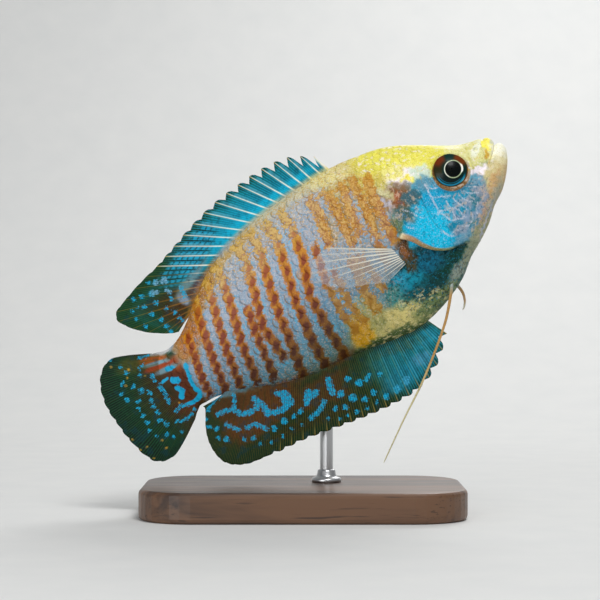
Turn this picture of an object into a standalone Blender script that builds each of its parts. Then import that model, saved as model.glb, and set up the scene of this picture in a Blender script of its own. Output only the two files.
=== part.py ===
"""A male dwarf gourami as a still, life-size model, pitched nose up on a plain display stand.

The fish is modelled level in its own frame, in millimetres: +X towards the snout, +Z towards the
back, -Y its right side. The empty that carries it holds the pitch and the height over the floor.
The row frame has its origin in the middle of the stand's underside, on the floor.
"""

import math

import bmesh
import bpy
import numpy as np
from mathutils import Matrix, Vector

# Driving dimensions, in millimetres and degrees
MM = 0.001
PITCH = 35.0
FISH_HEIGHT = 35.9
GAP = 0.3
STALK_FRONT = -16.0
WEB_HALF = 0.25

BODY_SEGMENTS = 48
HEAD_STEPS = 4
TRUNK_STEPS = 2
CUTTER_REACH = 12.0

# The body's rings from inside the mouth to the tail. Each has its top point, its widest point at
# the side, its bottom point, and how slim it is above and below the widest line (1 is an ellipse).
# top x, top z, side x, half width, side z, bottom x, bottom z, slim above, slim below
BODY_RINGS = np.array([
    (40.60, 2.50, 39.70, 1.15, 1.60, 40.62, 2.40, 0.90, 0.90),
    (41.20, 2.98, 39.30, 1.72, 1.38, 41.26, 2.86, 0.90, 0.90),
    (41.38, 3.70, 39.12, 2.00, 1.25, 42.25, 2.60, 0.85, 0.80),
    (41.05, 4.50, 38.95, 2.20, 1.05, 42.50, 1.35, 0.85, 0.80),
    (40.50, 4.80, 38.75, 2.28, 0.95, 41.92, 0.02, 0.90, 0.85),
    (40.15, 4.78, 38.45, 2.26, 0.85, 41.12, -1.12, 0.95, 0.90),
    (39.55, 5.25, 37.60, 2.62, 0.75, 39.86, -2.50, 1.00, 0.95),
    (38.00, 5.70, 36.20, 3.20, 0.80, 37.98, -4.10, 1.00, 1.00),
    (36.20, 6.50, 34.70, 3.80, 0.95, 35.65, -5.45, 1.00, 1.00),
    (34.00, 8.00, 32.80, 4.40, 1.05, 33.15, -7.42, 1.05, 1.05),
    (31.00, 10.20, 30.30, 5.00, 1.00, 30.32, -9.00, 1.05, 1.10),
    (28.00, 12.20, 27.50, 5.55, 0.85, 27.40, -10.35, 1.10, 1.10),
    (25.00, 13.65, 24.60, 6.00, 0.70, 24.50, -12.30, 1.10, 1.15),
    (21.50, 14.60, 21.30, 6.25, 0.70, 21.35, -13.65, 1.15, 1.20),
    (17.50, 15.50, 17.50, 6.35, 0.90, 17.50, -14.70, 1.15, 1.25),
    (12.50, 15.95, 12.50, 6.25, 1.10, 12.50, -15.10, 1.15, 1.30),
    (6.50, 16.00, 6.50, 6.00, 1.30, 6.50, -13.80, 1.15, 1.35),
    (0.50, 15.70, 0.50, 5.60, 1.40, 0.50, -12.30, 1.15, 1.35),
    (-5.50, 14.80, -5.50, 5.00, 1.50, -5.50, -11.30, 1.15, 1.35),
    (-10.50, 13.10, -10.50, 4.25, 1.50, -10.50, -9.80, 1.15, 1.30),
    (-14.50, 10.90, -14.50, 3.45, 1.40, -14.50, -7.90, 1.15, 1.25),
    (-18.00, 8.40, -18.00, 2.65, 1.20, -18.00, -6.40, 1.10, 1.20),
    (-21.00, 6.80, -21.00, 1.95, 1.05, -21.00, -5.10, 1.05, 1.10),
    (-23.20, 6.40, -23.40, 1.30, 0.95, -23.20, -4.80, 1.00, 1.00),
    (-24.20, 6.20, -24.90, 0.80, 0.90, -24.20, -4.60, 0.90, 0.90),
])
LAST_HEAD_RING = 14

# The line that parts the head from the trunk, nape to throat, in x and z. Below the middle of the
# side it is the gill cover's free edge, which stands this much over the shoulder behind it.
HEAD_EDGE = ((25.2, 17.0), (23.6, 12.6), (21.6, 8.0), (20.2, 3.8), (19.6, 0.4), (20.3, -2.2),
             (22.0, -4.8), (24.4, -6.7), (27.2, -7.9), (30.0, -9.2), (32.2, -12.0))
GILL_STEP = 0.4
GILL_X, GILL_Z, GILL_REACH = 28.0, 0.6, 8.4

# The head is flat round the eye, on a plane that leans in towards the snout and the brow, and a low
# lid rim runs round it. The eye is a flattened ball whose middle is sunk under that plane.
EYE_X, EYE_Y, EYE_Z = 33.1, 4.15, 3.65
ORBIT_SLOPE_X, ORBIT_SLOPE_Z = -0.2, -0.15
ORBIT_RADIUS, ORBIT_FADE = 4.0, 2.2
LID_RADIUS, LID_RISE, LID_WIDTH = 3.45, 0.28, 0.45
EYE_HALF_WIDTH, EYE_HALF_DEPTH, EYE_SUNK = 3.45, 1.8, 1.0

# Two nostrils each side, as pits: x, z and radius
NOSTRILS = ((38.3, 4.2, 0.36), (37.2, 5.1, 0.30))

# Guide rays of the fins. Root x is on the body's outline, the tip is where the ray ends. The
# spines and the soft rays are spread evenly along their own guides.
DORSAL_SPINES, DORSAL_SOFT = 15, 9
DORSAL_SPINE_GUIDES = (
    # root x, tip x, tip z
    (16.1, 15.3, 18.8), (12.7, 11.5, 21.2), (9.2, 6.9, 22.1), (5.6, 2.1, 22.1), (1.9, -2.6, 21.8),
    (-1.9, -7.7, 20.9), (-5.7, -12.5, 19.6), (-9.5, -16.8, 18.5),
)
DORSAL_SOFT_GUIDES = (
    (-10.9, -19.3, 18.1), (-13.4, -24.0, 17.0), (-15.3, -27.4, 15.4), (-16.9, -25.2, 12.1),
    (-18.8, -20.2, 7.7),
)
ANAL_SPINES, ANAL_SOFT = 17, 14
ANAL_SPINE_GUIDES = (
    (15.4, 16.6, -18.5), (12.1, 12.2, -21.9), (8.7, 7.6, -23.4), (5.4, 3.3, -23.2),
    (2.0, -0.9, -22.4), (-1.3, -5.1, -21.2), (-4.6, -9.3, -20.1), (-7.9, -13.5, -19.1),
    (-11.3, -17.7, -18.6),
)
ANAL_SOFT_GUIDES = (
    (-12.6, -19.6, -18.1), (-15.2, -23.4, -16.9), (-17.3, -25.9, -14.6), (-18.7, -26.6, -11.6),
    (-20.0, -25.9, -8.6), (-21.2, -24.0, -5.7),
)
CAUDAL_RAYS = 17
CAUDAL_GUIDES = np.array([
    # root z, tip x, tip z
    (6.1, -26.4, 7.5), (5.7, -32.1, 10.4), (4.7, -35.7, 8.6), (3.0, -37.4, 4.6),
    (0.9, -37.6, 0.6), (-1.3, -37.4, -3.2), (-3.0, -36.1, -7.8), (-4.1, -32.4, -9.0),
    (-4.5, -26.3, -6.0),
])
PECTORAL_RAYS = 10
PECTORAL_GUIDES = np.array([
    (18.6, -2.0, 7.4, 5.2), (18.3, -2.8, 5.4, 3.4), (18.1, -3.5, 5.5, 0.2),
    (18.0, -4.2, 8.3, -3.8), (18.0, -4.9, 12.8, -6.0),
])
PECTORAL_SPREAD = 2.9

# The thread-like pelvic fins: points of each path (x, y, z) and the radius at its root
THREAD_ROOT_RADIUS, THREAD_TIP_RADIUS = 0.32, 0.16
THREAD_POINTS = 15
RIGHT_THREAD = ((22.6, -1.6, -11.2), (20.5, -2.5, -13.6), (16.5, -3.2, -17.2), (9.0, -3.6, -22.2),
                (2.0, -3.2, -26.1), (-4.6, -2.4, -30.0))
LEFT_THREAD = ((22.6, 1.4, -11.6), (22.9, 2.6, -14.2), (22.6, 5.0, -15.8), (22.1, 8.8, -16.9),
               (21.9, 13.0, -17.4))

# The stand: a flat base with rounded corners and one rod up to the belly's left side
BASE_LENGTH, BASE_DEPTH, BASE_THICK, BASE_CORNER = 54.0, 34.0, 5.0, 9.0
BASE_EDGE, CORNER_STEPS = 0.8, 8
ROD_X, ROD_Y, ROD_RADIUS = 4.0, 3.6, 1.1
ROD_REACH = 36.0


def spread_rows(points, count):
    """Rows of a table run through by a Catmull-Rom curve, at this many places evenly by row."""
    rows = np.asarray(points, float)
    padded = np.vstack([2 * rows[0] - rows[1], rows, 2 * rows[-1] - rows[-2]])
    at = np.linspace(0, len(rows) - 1, count)
    i = np.minimum(at.astype(int), len(rows) - 2)
    t = (at - i)[:, None]
    a, b, c, d = padded[i], padded[i + 1], padded[i + 2], padded[i + 3]
    return b + 0.5 * t * (c - a + t * (2 * a - 5 * b + 4 * c - d + t * (3 * (b - c) + d - a)))


def curve_through(points, steps):
    """The same curve with this many steps from row to row."""
    return spread_rows(points, (len(points) - 1) * steps + 1)


def ring_points(rings, segments):
    """A grid of points: round each ring, y is the half width times a power of the sine, and x and
    z go from the side point towards the top or the bottom one by the cosine."""
    turn = np.linspace(0, 2 * np.pi, segments, endpoint=False)
    cos, sin = np.cos(turn), np.sin(turn)
    above = cos >= 0
    cols = [rings[:, [k]] for k in range(9)]
    top_x, top_z, side_x, width, side_z, low_x, low_z, slim_up, slim_down = cols
    slim = np.where(above, slim_up, slim_down)
    x = side_x + np.where(above, top_x - side_x, low_x - side_x) * np.abs(cos)
    z = side_z + np.where(above, top_z - side_z, low_z - side_z) * np.abs(cos)
    y = -width * np.sign(sin) * np.abs(sin) ** slim
    return np.stack([x, y, z], axis=2)


def grid_normals(grid):
    """Outward unit normals of a ring grid, from its neighbours along and around."""
    along = np.gradient(grid, axis=0)
    around = np.roll(grid, -1, axis=1) - np.roll(grid, 1, axis=1)
    normal = np.cross(along, around)
    return normal / np.maximum(np.linalg.norm(normal, axis=2, keepdims=True), 1e-9)


def soft_step(value, width):
    """0 below zero and 1 above it, smooth over the width."""
    t = np.clip(value / width + 0.5, 0, 1)
    return t * t * (3 - 2 * t)


def head_relief(grid):
    """The head's surface: the gill cover swells away from its middle towards the free edge, and
    the side is flat round the eye, with the lid's rim."""
    x, y, z = grid[:, :, 0], grid[:, :, 1], grid[:, :, 2]
    from_gill = np.hypot(x - GILL_X, z - GILL_Z)
    swell = GILL_STEP * soft_step(from_gill - GILL_REACH * 0.65, GILL_REACH * 0.7)
    swell *= soft_step(GILL_X + 3.0 - x, 6.0) * soft_step(6.0 - z, 6.0) * side_share(y)
    out = grid + grid_normals(grid) * swell[:, :, None]
    from_eye = np.hypot(x - EYE_X, z - EYE_Z)
    plane = EYE_Y + ORBIT_SLOPE_X * (x - EYE_X) + ORBIT_SLOPE_Z * (z - EYE_Z)
    lid = LID_RISE * np.exp(-(((from_eye - LID_RADIUS) / LID_WIDTH) ** 2))
    flat = soft_step(ORBIT_RADIUS - from_eye, ORBIT_FADE) * side_share(y)
    out[:, :, 1] += flat * (np.sign(y) * (plane + lid) - out[:, :, 1])
    return out


def side_share(y):
    """0 on the middle line and 1 on the flanks."""
    return np.clip(np.abs(y) / 2.0, 0, 1)


def body_grids():
    """The body's plain surface, and the same with finer rings and the head's relief."""
    plain = ring_points(curve_through(BODY_RINGS, TRUNK_STEPS), BODY_SEGMENTS)
    front = curve_through(BODY_RINGS[: LAST_HEAD_RING + 1], HEAD_STEPS)
    return plain, head_relief(ring_points(front, BODY_SEGMENTS))


def new_object(name, mesh, parent, collection):
    """An object that holds this mesh, under its parent and in its collection."""
    made = bpy.data.objects.new(name, mesh)
    made.parent = parent
    collection.objects.link(made)
    return made


def write_back(work, mesh):
    """Puts the work mesh into the mesh, with its faces turned outwards."""
    bmesh.ops.recalc_face_normals(work, faces=work.faces)
    work.to_mesh(mesh)
    work.free()


def mesh_object(name, points, faces, parent, collection):
    """An object from points in millimetres."""
    mesh = bpy.data.meshes.new(name)
    mesh.from_pydata([tuple(p) for p in np.asarray(points) * MM], [], faces)
    work = bmesh.new()
    work.from_mesh(mesh)
    write_back(work, mesh)
    return new_object(name, mesh, parent, collection)


def tube_faces(rings, segments):
    """Quads round a stack of rings, with a flat cap at each end."""
    faces = [
        (r * segments + k, r * segments + (k + 1) % segments,
         (r + 1) * segments + (k + 1) % segments, (r + 1) * segments + k)
        for r in range(rings - 1)
        for k in range(segments)
    ]
    faces.append(tuple(range(segments)))
    faces.append(tuple((rings - 1) * segments + k for k in range(segments)))
    return faces


def cut_flat(mesh, x, keep_front):
    """Cuts a closed mesh at a plane across the body and closes it there."""
    work = bmesh.new()
    work.from_mesh(mesh)
    every = work.verts[:] + work.edges[:] + work.faces[:]
    bmesh.ops.bisect_plane(
        work, geom=every, plane_co=(x * MM, 0, 0), plane_no=(1, 0, 0),
        clear_inner=keep_front, clear_outer=not keep_front, dist=1e-7,
    )
    rim = [e for e in work.edges if e.is_boundary]
    bmesh.ops.edgeloop_fill(work, edges=rim)
    write_back(work, mesh)


def paint(made, name, colour, roughness, metallic=0.0):
    """Gives an object its own Principled material."""
    material = bpy.data.materials.new(name)
    material.use_nodes = True
    shader = material.node_tree.nodes["Principled BSDF"]
    shader.inputs["Base Color"].default_value = (*colour, 1)
    shader.inputs["Roughness"].default_value = roughness
    shader.inputs["Metallic"].default_value = metallic
    made.data.materials.append(material)


def cut_by(made, cutters):
    """Takes the cutters out of an object and keeps only its largest closed surface."""
    for cutter in cutters:
        step = made.modifiers.new("cut", "BOOLEAN")
        step.operation = "DIFFERENCE"
        step.solver = "EXACT"
        step.object = cutter
    graph = bpy.context.evaluated_depsgraph_get()
    graph.update()
    mesh = bpy.data.meshes.new_from_object(made.evaluated_get(graph))
    made.modifiers.clear()
    made.data = mesh
    keep_largest(mesh)


def keep_largest(mesh):
    """Deletes all but the largest closed surface of a mesh, by its volume."""
    work = bmesh.new()
    work.from_mesh(mesh)
    left, islands = set(work.faces), []
    while left:
        stack, island = [left.pop()], []
        while stack:
            face = stack.pop()
            island.append(face)
            for edge in face.edges:
                for other in edge.link_faces:
                    if other in left:
                        left.remove(other)
                        stack.append(other)
        islands.append(island)
    islands.sort(key=enclosed, reverse=True)
    loose = [face for island in islands[1:] for face in island]
    bmesh.ops.delete(work, geom=loose, context="FACES")
    write_back(work, mesh)


def enclosed(island):
    """The volume that a closed set of faces holds, from the fans of its faces."""
    total = 0.0
    for face in island:
        first = face.verts[0].co
        for a, b in zip(face.verts[1:-1], face.verts[2:]):
            total += first.dot(a.co.cross(b.co))
    return abs(total)


def as_cutter(made):
    """Marks an object as a helper that is not part of the model."""
    made.hide_render = True
    made.display_type = "WIRE"
    return made


def prism(name, outline, fish, collection):
    """A cutter: an outline in side view, carried right through the body from side to side."""
    work = bmesh.new()
    verts = [work.verts.new((x * MM, -CUTTER_REACH * MM, z * MM)) for x, z in outline]
    near = work.faces.new(verts)
    far = bmesh.ops.extrude_face_region(work, geom=[near])
    moved = [g for g in far["geom"] if isinstance(g, bmesh.types.BMVert)]
    bmesh.ops.translate(work, verts=moved, vec=(0, 2 * CUTTER_REACH * MM, 0))
    bmesh.ops.triangulate(work, faces=work.faces)
    mesh = bpy.data.meshes.new(name)
    write_back(work, mesh)
    return as_cutter(new_object(name, mesh, fish, collection))


def head_edge(shift):
    """The head's edge line, moved square to itself by this much towards the tail."""
    line = curve_through(HEAD_EDGE, 3)
    along = np.gradient(line, axis=0)
    square = np.stack([along[:, 1], -along[:, 0]], axis=1)
    square /= np.linalg.norm(square, axis=1, keepdims=True)
    return line + square * shift


def body_parts(fish, model, cutters):
    """The body, parted by thin cuts into head, trunk and tail stalk, and a copy of it that is
    larger by the gap, which trims what grows from the flank or carries the fish."""
    plain, front = body_grids()
    head_mesh = front.reshape(-1, 3)
    head = mesh_object("head", head_mesh, tube_faces(*front.shape[:2]), fish, model)
    behind = [tuple(p) for p in head_edge(-GAP / 2)] + [(0, -30), (0, 30)]
    cut_by(head, [prism("behind_the_head", behind, fish, cutters)])
    paint(head, "yellow_and_blue_skin", (0.35, 0.62, 0.62), 0.4)
    faces = tube_faces(*plain.shape[:2])
    trunk = mesh_object("trunk", plain.reshape(-1, 3), faces, fish, model)
    cut_flat(trunk.data, STALK_FRONT, True)
    ahead = [tuple(p) for p in head_edge(GAP / 2)] + [(50, -30), (50, 30)]
    cut_by(trunk, [prism("ahead_of_the_trunk", ahead, fish, cutters)])
    paint(trunk, "barred_skin", (0.62, 0.40, 0.30), 0.4)
    stalk = mesh_object("tail_stalk", plain.reshape(-1, 3), faces, fish, model)
    cut_flat(stalk.data, STALK_FRONT - GAP, False)
    paint(stalk, "rusty_skin", (0.52, 0.27, 0.14), 0.4)
    larger = (plain + grid_normals(plain) * GAP).reshape(-1, 3)
    trimmer = as_cutter(mesh_object("body_and_gap", larger, faces, fish, cutters))
    return head, trimmer


def ball(name, centre, radius, depth, faces_to, fish, collection, rings=10, segments=24):
    """A ball flattened to this depth along the way that it faces, with its poles that way."""
    work = bmesh.new()
    bmesh.ops.create_uvsphere(work, u_segments=segments, v_segments=rings, radius=1.0)
    turn = Vector((0, 0, 1)).rotation_difference(Vector(faces_to))
    for vert in work.verts:
        local = Vector((vert.co.x * radius, vert.co.y * radius, vert.co.z * depth))
        vert.co = (turn @ local + Vector(centre)) * MM
    mesh = bpy.data.meshes.new(name)
    write_back(work, mesh)
    return new_object(name, mesh, fish, collection)


def eyes_and_nostrils(head, fish, model, cutters):
    """An eye each side in a socket that clears it by the gap, and the nostril pits."""
    tools = []
    for side, word in ((-1, "right"), (1, "left")):
        faces_to = Vector((-ORBIT_SLOPE_X, side, -ORBIT_SLOPE_Z)).normalized()
        centre = Vector((EYE_X, side * EYE_Y, EYE_Z)) - faces_to * EYE_SUNK
        size = (EYE_HALF_WIDTH, EYE_HALF_DEPTH)
        eye = ball(f"eye_{word}", centre, *size, faces_to, fish, model)
        paint(eye, f"wet_eye_{word}", (0.05, 0.06, 0.04), 0.1)
        wider = (EYE_HALF_WIDTH + GAP, EYE_HALF_DEPTH + GAP)
        tools.append(as_cutter(ball(f"socket_{word}", centre, *wider, faces_to, fish, cutters)))
        for number, (x, z, radius) in enumerate(NOSTRILS):
            pit = Vector((x, side * head_half_width(x, z), z))
            cutter = ball(f"nostril_{word}_{number}", pit, radius, radius, faces_to, fish, cutters,
                          6, 10)
            tools.append(as_cutter(cutter))
    cut_by(head, tools)


def head_half_width(x, z):
    """Half the width of the head at a place in side view, read from its own surface."""
    rings = curve_through(BODY_RINGS[: LAST_HEAD_RING + 1], 8)
    right = head_relief(ring_points(rings, 120))[:, :61].reshape(-1, 3)
    nearest = np.argmin(np.hypot(right[:, 0] - x, right[:, 2] - z))
    return abs(right[nearest, 1])


def stalk_end_x(z):
    """The x of the tail stalk's end at each height: straight from its side point to each edge."""
    top_x, top_z, side_x, _, side_z, low_x, low_z = BODY_RINGS[-1, :7]
    up = np.clip((z - side_z) / (top_z - side_z), 0, 1)
    down = np.clip((side_z - z) / (side_z - low_z), 0, 1)
    return side_x + up * (top_x - side_x) + down * (low_x - side_x)


def outline_z(x, column_x, column_z):
    """The height of the body's top or bottom outline at each x."""
    rings = curve_through(BODY_RINGS, 8)
    order = np.argsort(rings[:, column_x])
    return np.interp(x, rings[order, column_x], rings[order, column_z])


def fin_plate(name, rays, notch, root_half, row_places, fish, model, sway=None):
    """A fin as one closed plate. Rays are rows of root x, y, z and tip x, y, z. Each ray is a
    ridge of both faces; behind it the web slopes down to the next ray, by the notch."""
    between = (0.0, 0.18, 0.82)
    drop = (0.0, 0.15, 1.0)
    last = len(rays) - 1
    at = np.array([i + f for i in range(last) for f in between] + [last])
    fall = np.array([notch[i] * d for i in range(last) for d in drop] + [0.0])
    ridge = np.array([1.0 * (f == 0) for _ in range(last) for f in between] + [1.0])
    low = np.minimum(at.astype(int), last - 1)
    mix = (at - low)[:, None]
    ends = rays[low] * (1 - mix) + rays[low + 1] * mix
    root, tip = ends[:, None, :3], ends[:, None, 3:]
    t = np.asarray(row_places)[None, :, None] * (1 - fall)[:, None, None]
    middle = root + (tip - root) * t
    if sway is not None:
        middle[:, :, 1] += sway(middle)
    thin = WEB_HALF + (root_half - WEB_HALF) * (1 - t[:, :, 0]) ** 2
    rise = 0.17 * ridge[:, None] * (1 - 0.6 * t[:, :, 0])
    half = np.zeros_like(middle)
    half[:, :, 1] = thin + rise
    right, left = middle - half, middle + half
    return plate_object(name, right, left, fish, model)


def plate_object(name, right, left, fish, model):
    """A closed plate between two grids, both split into triangles the same way."""
    columns, rows = right.shape[:2]
    count = columns * rows
    index = np.arange(count).reshape(columns, rows)
    a, b = index[:-1, :-1].ravel(), index[1:, :-1].ravel()
    c, d = index[1:, 1:].ravel(), index[:-1, 1:].ravel()
    sheet = np.vstack([np.stack([a, b, c], 1), np.stack([a, c, d], 1)])
    rim = np.concatenate([index[:, 0], index[-1, 1:], index[-2::-1, -1], index[0, -2:0:-1]])
    after = np.roll(rim, -1)
    wall = np.vstack([np.stack([rim, after, after + count], 1),
                      np.stack([rim, after + count, rim + count], 1)])
    faces = np.vstack([sheet, sheet[:, ::-1] + count, wall])
    points = np.vstack([right.reshape(-1, 3), left.reshape(-1, 3)])
    return mesh_object(name, points, faces.tolist(), fish, model)


def middle_fin(name, guides, counts, columns, sign, notch, sway, fish, model):
    """A fin of the middle line, whose root follows the body's outline a gap away from it."""
    rows = np.vstack([spread_rows(*pair) for pair in zip(guides, counts)])
    root_z = outline_z(rows[:, 0], *columns) + sign * GAP
    flat = np.zeros(len(rows))
    rays = np.stack([rows[:, 0], flat, root_z, rows[:, 1], flat, rows[:, 2]], axis=1)
    fall = notch(np.arange(len(rows)), counts[0])
    return fin_plate(name, rays, fall, 0.5, (0, 0.33, 0.66, 1), fish, model, sway)


def dorsal_notch(ray, spines):
    """The web is cut deep behind the first spines and hardly at all between the soft rays."""
    return np.where(ray < spines, 0.05 + 0.45 * np.exp(-ray / 2.6), 0.015)


def anal_notch(ray, spines):
    """As the dorsal fin's, but shallower."""
    return np.where(ray < spines, 0.03 + 0.24 * np.exp(-ray / 1.6), 0.012)


def fins(fish, model, trimmer):
    """The three middle fins, then the paired ones."""
    dorsal = middle_fin(
        "dorsal_fin", (DORSAL_SPINE_GUIDES, DORSAL_SOFT_GUIDES), (DORSAL_SPINES, DORSAL_SOFT),
        (0, 1), 1, dorsal_notch, lambda p: 0.5 * soft_step(-14 - p[:, :, 0], 12.0), fish, model)
    paint(dorsal, "blue_fin", (0.02, 0.40, 0.55), 0.35)
    anal = middle_fin(
        "anal_fin", (ANAL_SPINE_GUIDES, ANAL_SOFT_GUIDES), (ANAL_SPINES, ANAL_SOFT),
        (5, 6), -1, anal_notch, lambda p: -0.5 * soft_step(-14 - p[:, :, 0], 12.0), fish, model)
    paint(anal, "green_fin", (0.03, 0.22, 0.18), 0.35)
    rows = spread_rows(CAUDAL_GUIDES, CAUDAL_RAYS)
    flat = np.zeros(CAUDAL_RAYS)
    root_x = stalk_end_x(rows[:, 0]) - GAP
    rays = np.stack([root_x, flat, rows[:, 0], rows[:, 1], flat, rows[:, 2]], axis=1)
    caudal = fin_plate(
        "caudal_fin", rays, np.full(CAUDAL_RAYS, 0.015), 0.6, (0, 0.25, 0.5, 0.75, 1), fish,
        model, lambda p: 0.9 * ((-24.5 - p[:, :, 0]) / 13.0) ** 2 * (p[:, :, 0] < -24.5))
    paint(caudal, "dark_fin", (0.02, 0.14, 0.09), 0.35)
    for side, word in ((-1, "right"), (1, "left")):
        pectoral_fin(side, word, fish, model, trimmer)


def pectoral_fin(side, word, fish, model, trimmer):
    """A fan of rays that leaves the flank steeply, then lies back beside it. Its root starts
    inside the body and is trimmed a gap clear of it."""
    rows = spread_rows(PECTORAL_GUIDES, PECTORAL_RAYS)
    inner = np.full(PECTORAL_RAYS, side * 4.6)
    rays = np.stack([rows[:, 0], inner, rows[:, 1], rows[:, 2], inner, rows[:, 3]], axis=1)
    length = rows[:, 0].mean() - rows[:, 2].min()

    def sway(points):
        t = np.clip((rows[:, 0].mean() - points[:, :, 0]) / length, 0, 1)
        return side * (2.6 * (1 - (1 - t) ** 7) + PECTORAL_SPREAD * t)

    places = (0, 0.06, 0.13, 0.22, 0.5, 1)
    fin = fin_plate(f"pectoral_fin_{word}", rays, np.full(PECTORAL_RAYS, 0.03), 0.42, places,
                    fish, model, sway)
    cut_by(fin, [trimmer])
    paint(fin, f"clear_fin_{word}", (0.75, 0.80, 0.78), 0.3)


def mesh_from_curve(curve, model):
    """A mesh of the curve's solid, with its caps welded on."""
    guide = bpy.data.objects.new(curve.name, curve)
    model.objects.link(guide)
    graph = bpy.context.evaluated_depsgraph_get()
    graph.update()
    mesh = bpy.data.meshes.new_from_object(guide.evaluated_get(graph))
    bpy.data.objects.remove(guide)
    mesh.materials.clear()
    work = bmesh.new()
    work.from_mesh(mesh)
    bmesh.ops.remove_doubles(work, verts=work.verts, dist=1e-6)
    write_back(work, mesh)
    return mesh


def thread(name, path, fish, model, trimmer):
    """A pelvic fin: one long tapering thread along a curve, trimmed a gap clear of the belly."""
    curve = bpy.data.curves.new(name + "_line", "CURVE")
    curve.dimensions = "3D"
    curve.bevel_depth = MM
    curve.bevel_resolution = 2
    curve.use_fill_caps = True
    line = curve.splines.new("POLY")
    line.points.add(THREAD_POINTS - 1)
    for k, point in enumerate(spread_rows(path, THREAD_POINTS)):
        share = k / (THREAD_POINTS - 1)
        line.points[k].co = (*(point * MM), 1)
        line.points[k].radius = THREAD_ROOT_RADIUS * (1 - share) + THREAD_TIP_RADIUS * share
    made = new_object(name, mesh_from_curve(curve, model), fish, model)
    cut_by(made, [trimmer])
    paint(made, name + "_skin", (0.62, 0.50, 0.25), 0.4)


def stand_base(model):
    """The base: a rectangle with rounded corners and eased edges, flat on the floor."""
    outline = bpy.data.curves.new("base_outline", "CURVE")
    outline.dimensions = "2D"
    outline.fill_mode = "BOTH"
    outline.extrude = (BASE_THICK / 2 - BASE_EDGE) * MM
    outline.bevel_depth = BASE_EDGE * MM
    outline.bevel_resolution = 2
    corner_x, corner_y = BASE_LENGTH / 2 - BASE_CORNER, BASE_DEPTH / 2 - BASE_CORNER
    radius = BASE_CORNER - BASE_EDGE
    line = outline.splines.new("POLY")
    line.points.add(4 * (CORNER_STEPS + 1) - 1)
    for k, point in enumerate(line.points):
        corner, step = divmod(k, CORNER_STEPS + 1)
        turn = math.radians(90 * (corner + step / CORNER_STEPS))
        side_x = 1 if corner in (0, 3) else -1
        side_y = 1 if corner in (0, 1) else -1
        x = side_x * corner_x + radius * math.cos(turn)
        y = side_y * corner_y + radius * math.sin(turn)
        point.co = (x * MM, y * MM, 0, 1)
    line.use_cyclic_u = True
    mesh = mesh_from_curve(outline, model)
    mesh.transform(Matrix.Translation((0, 0, BASE_THICK / 2 * MM)))
    base = new_object("stand_base", mesh, None, model)
    paint(base, "dark_wood", (0.12, 0.07, 0.045), 0.4)


def stand_rod(model, trimmer):
    """The rod: upright on the base, its top cut to the slope of the belly's left side."""
    bottom = BASE_THICK + GAP
    bpy.ops.mesh.primitive_cylinder_add(
        vertices=20, radius=ROD_RADIUS * MM, depth=(ROD_REACH - bottom) * MM,
        location=(ROD_X * MM, ROD_Y * MM, (ROD_REACH + bottom) / 2 * MM))
    rod = bpy.context.object
    rod.name = "stand_rod"
    for collection in list(rod.users_collection):
        collection.objects.unlink(rod)
    model.objects.link(rod)
    cut_by(rod, [trimmer])
    paint(rod, "satin_steel", (0.6, 0.6, 0.6), 0.3, 1.0)


def main():
    for old in list(bpy.data.objects):
        bpy.data.objects.remove(old)
    model = bpy.data.collections.new("dwarf_gourami")
    cutters = bpy.data.collections.new("cutters")
    bpy.context.scene.collection.children.link(model)
    bpy.context.scene.collection.children.link(cutters)
    fish = bpy.data.objects.new("fish_pose", None)
    fish.rotation_euler = (0, -math.radians(PITCH), 0)
    fish.location = (0, 0, FISH_HEIGHT * MM)
    model.objects.link(fish)
    bpy.context.view_layer.update()
    head, trimmer = body_parts(fish, model, cutters)
    eyes_and_nostrils(head, fish, model, cutters)
    fins(fish, model, trimmer)
    thread("pelvic_fin_right", RIGHT_THREAD, fish, model, trimmer)
    thread("pelvic_fin_left", LEFT_THREAD, fish, model, trimmer)
    stand_base(model)
    stand_rod(model, trimmer)


main()
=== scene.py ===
"""The looks of a male dwarf gourami as a museum model: skin, scales, eyes, fins and a display stand.

Shapes are worked out in millimetres in the fish's own frame, level with its nose to +X, its back
to +Z and its right side to -Y. `to_row` turns them nose up and sets them over the stand.
"""

import math

import bpy
import numpy as np
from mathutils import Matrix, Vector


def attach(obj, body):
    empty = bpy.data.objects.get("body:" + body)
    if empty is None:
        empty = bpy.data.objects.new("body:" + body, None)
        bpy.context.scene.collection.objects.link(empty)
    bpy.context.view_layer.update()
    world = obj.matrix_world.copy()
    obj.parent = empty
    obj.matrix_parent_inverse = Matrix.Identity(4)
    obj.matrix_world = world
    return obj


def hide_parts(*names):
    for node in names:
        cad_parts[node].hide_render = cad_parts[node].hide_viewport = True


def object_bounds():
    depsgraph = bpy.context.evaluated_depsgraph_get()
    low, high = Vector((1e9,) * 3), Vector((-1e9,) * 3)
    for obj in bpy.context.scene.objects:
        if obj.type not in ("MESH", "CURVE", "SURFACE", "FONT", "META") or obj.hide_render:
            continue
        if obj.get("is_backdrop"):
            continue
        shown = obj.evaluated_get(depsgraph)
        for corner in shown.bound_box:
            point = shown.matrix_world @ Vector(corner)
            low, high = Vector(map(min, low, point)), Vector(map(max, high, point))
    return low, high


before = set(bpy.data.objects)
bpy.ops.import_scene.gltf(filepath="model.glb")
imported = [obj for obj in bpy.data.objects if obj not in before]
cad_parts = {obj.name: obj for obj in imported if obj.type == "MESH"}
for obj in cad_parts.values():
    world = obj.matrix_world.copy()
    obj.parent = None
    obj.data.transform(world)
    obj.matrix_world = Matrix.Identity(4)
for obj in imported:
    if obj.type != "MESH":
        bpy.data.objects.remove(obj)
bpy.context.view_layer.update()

# THE PLACE IT IS SHOWN
# A pale table top that rises behind as one bent sheet of card, two soft boxes and a weak fill,
# and a long lens square to the fish's right side, level with the middle of its body.
MM = 0.001
LENS_PLACE = (-0.5, -336.0, 35.9)
LENS, SENSOR = 120.0, 36.0
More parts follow.
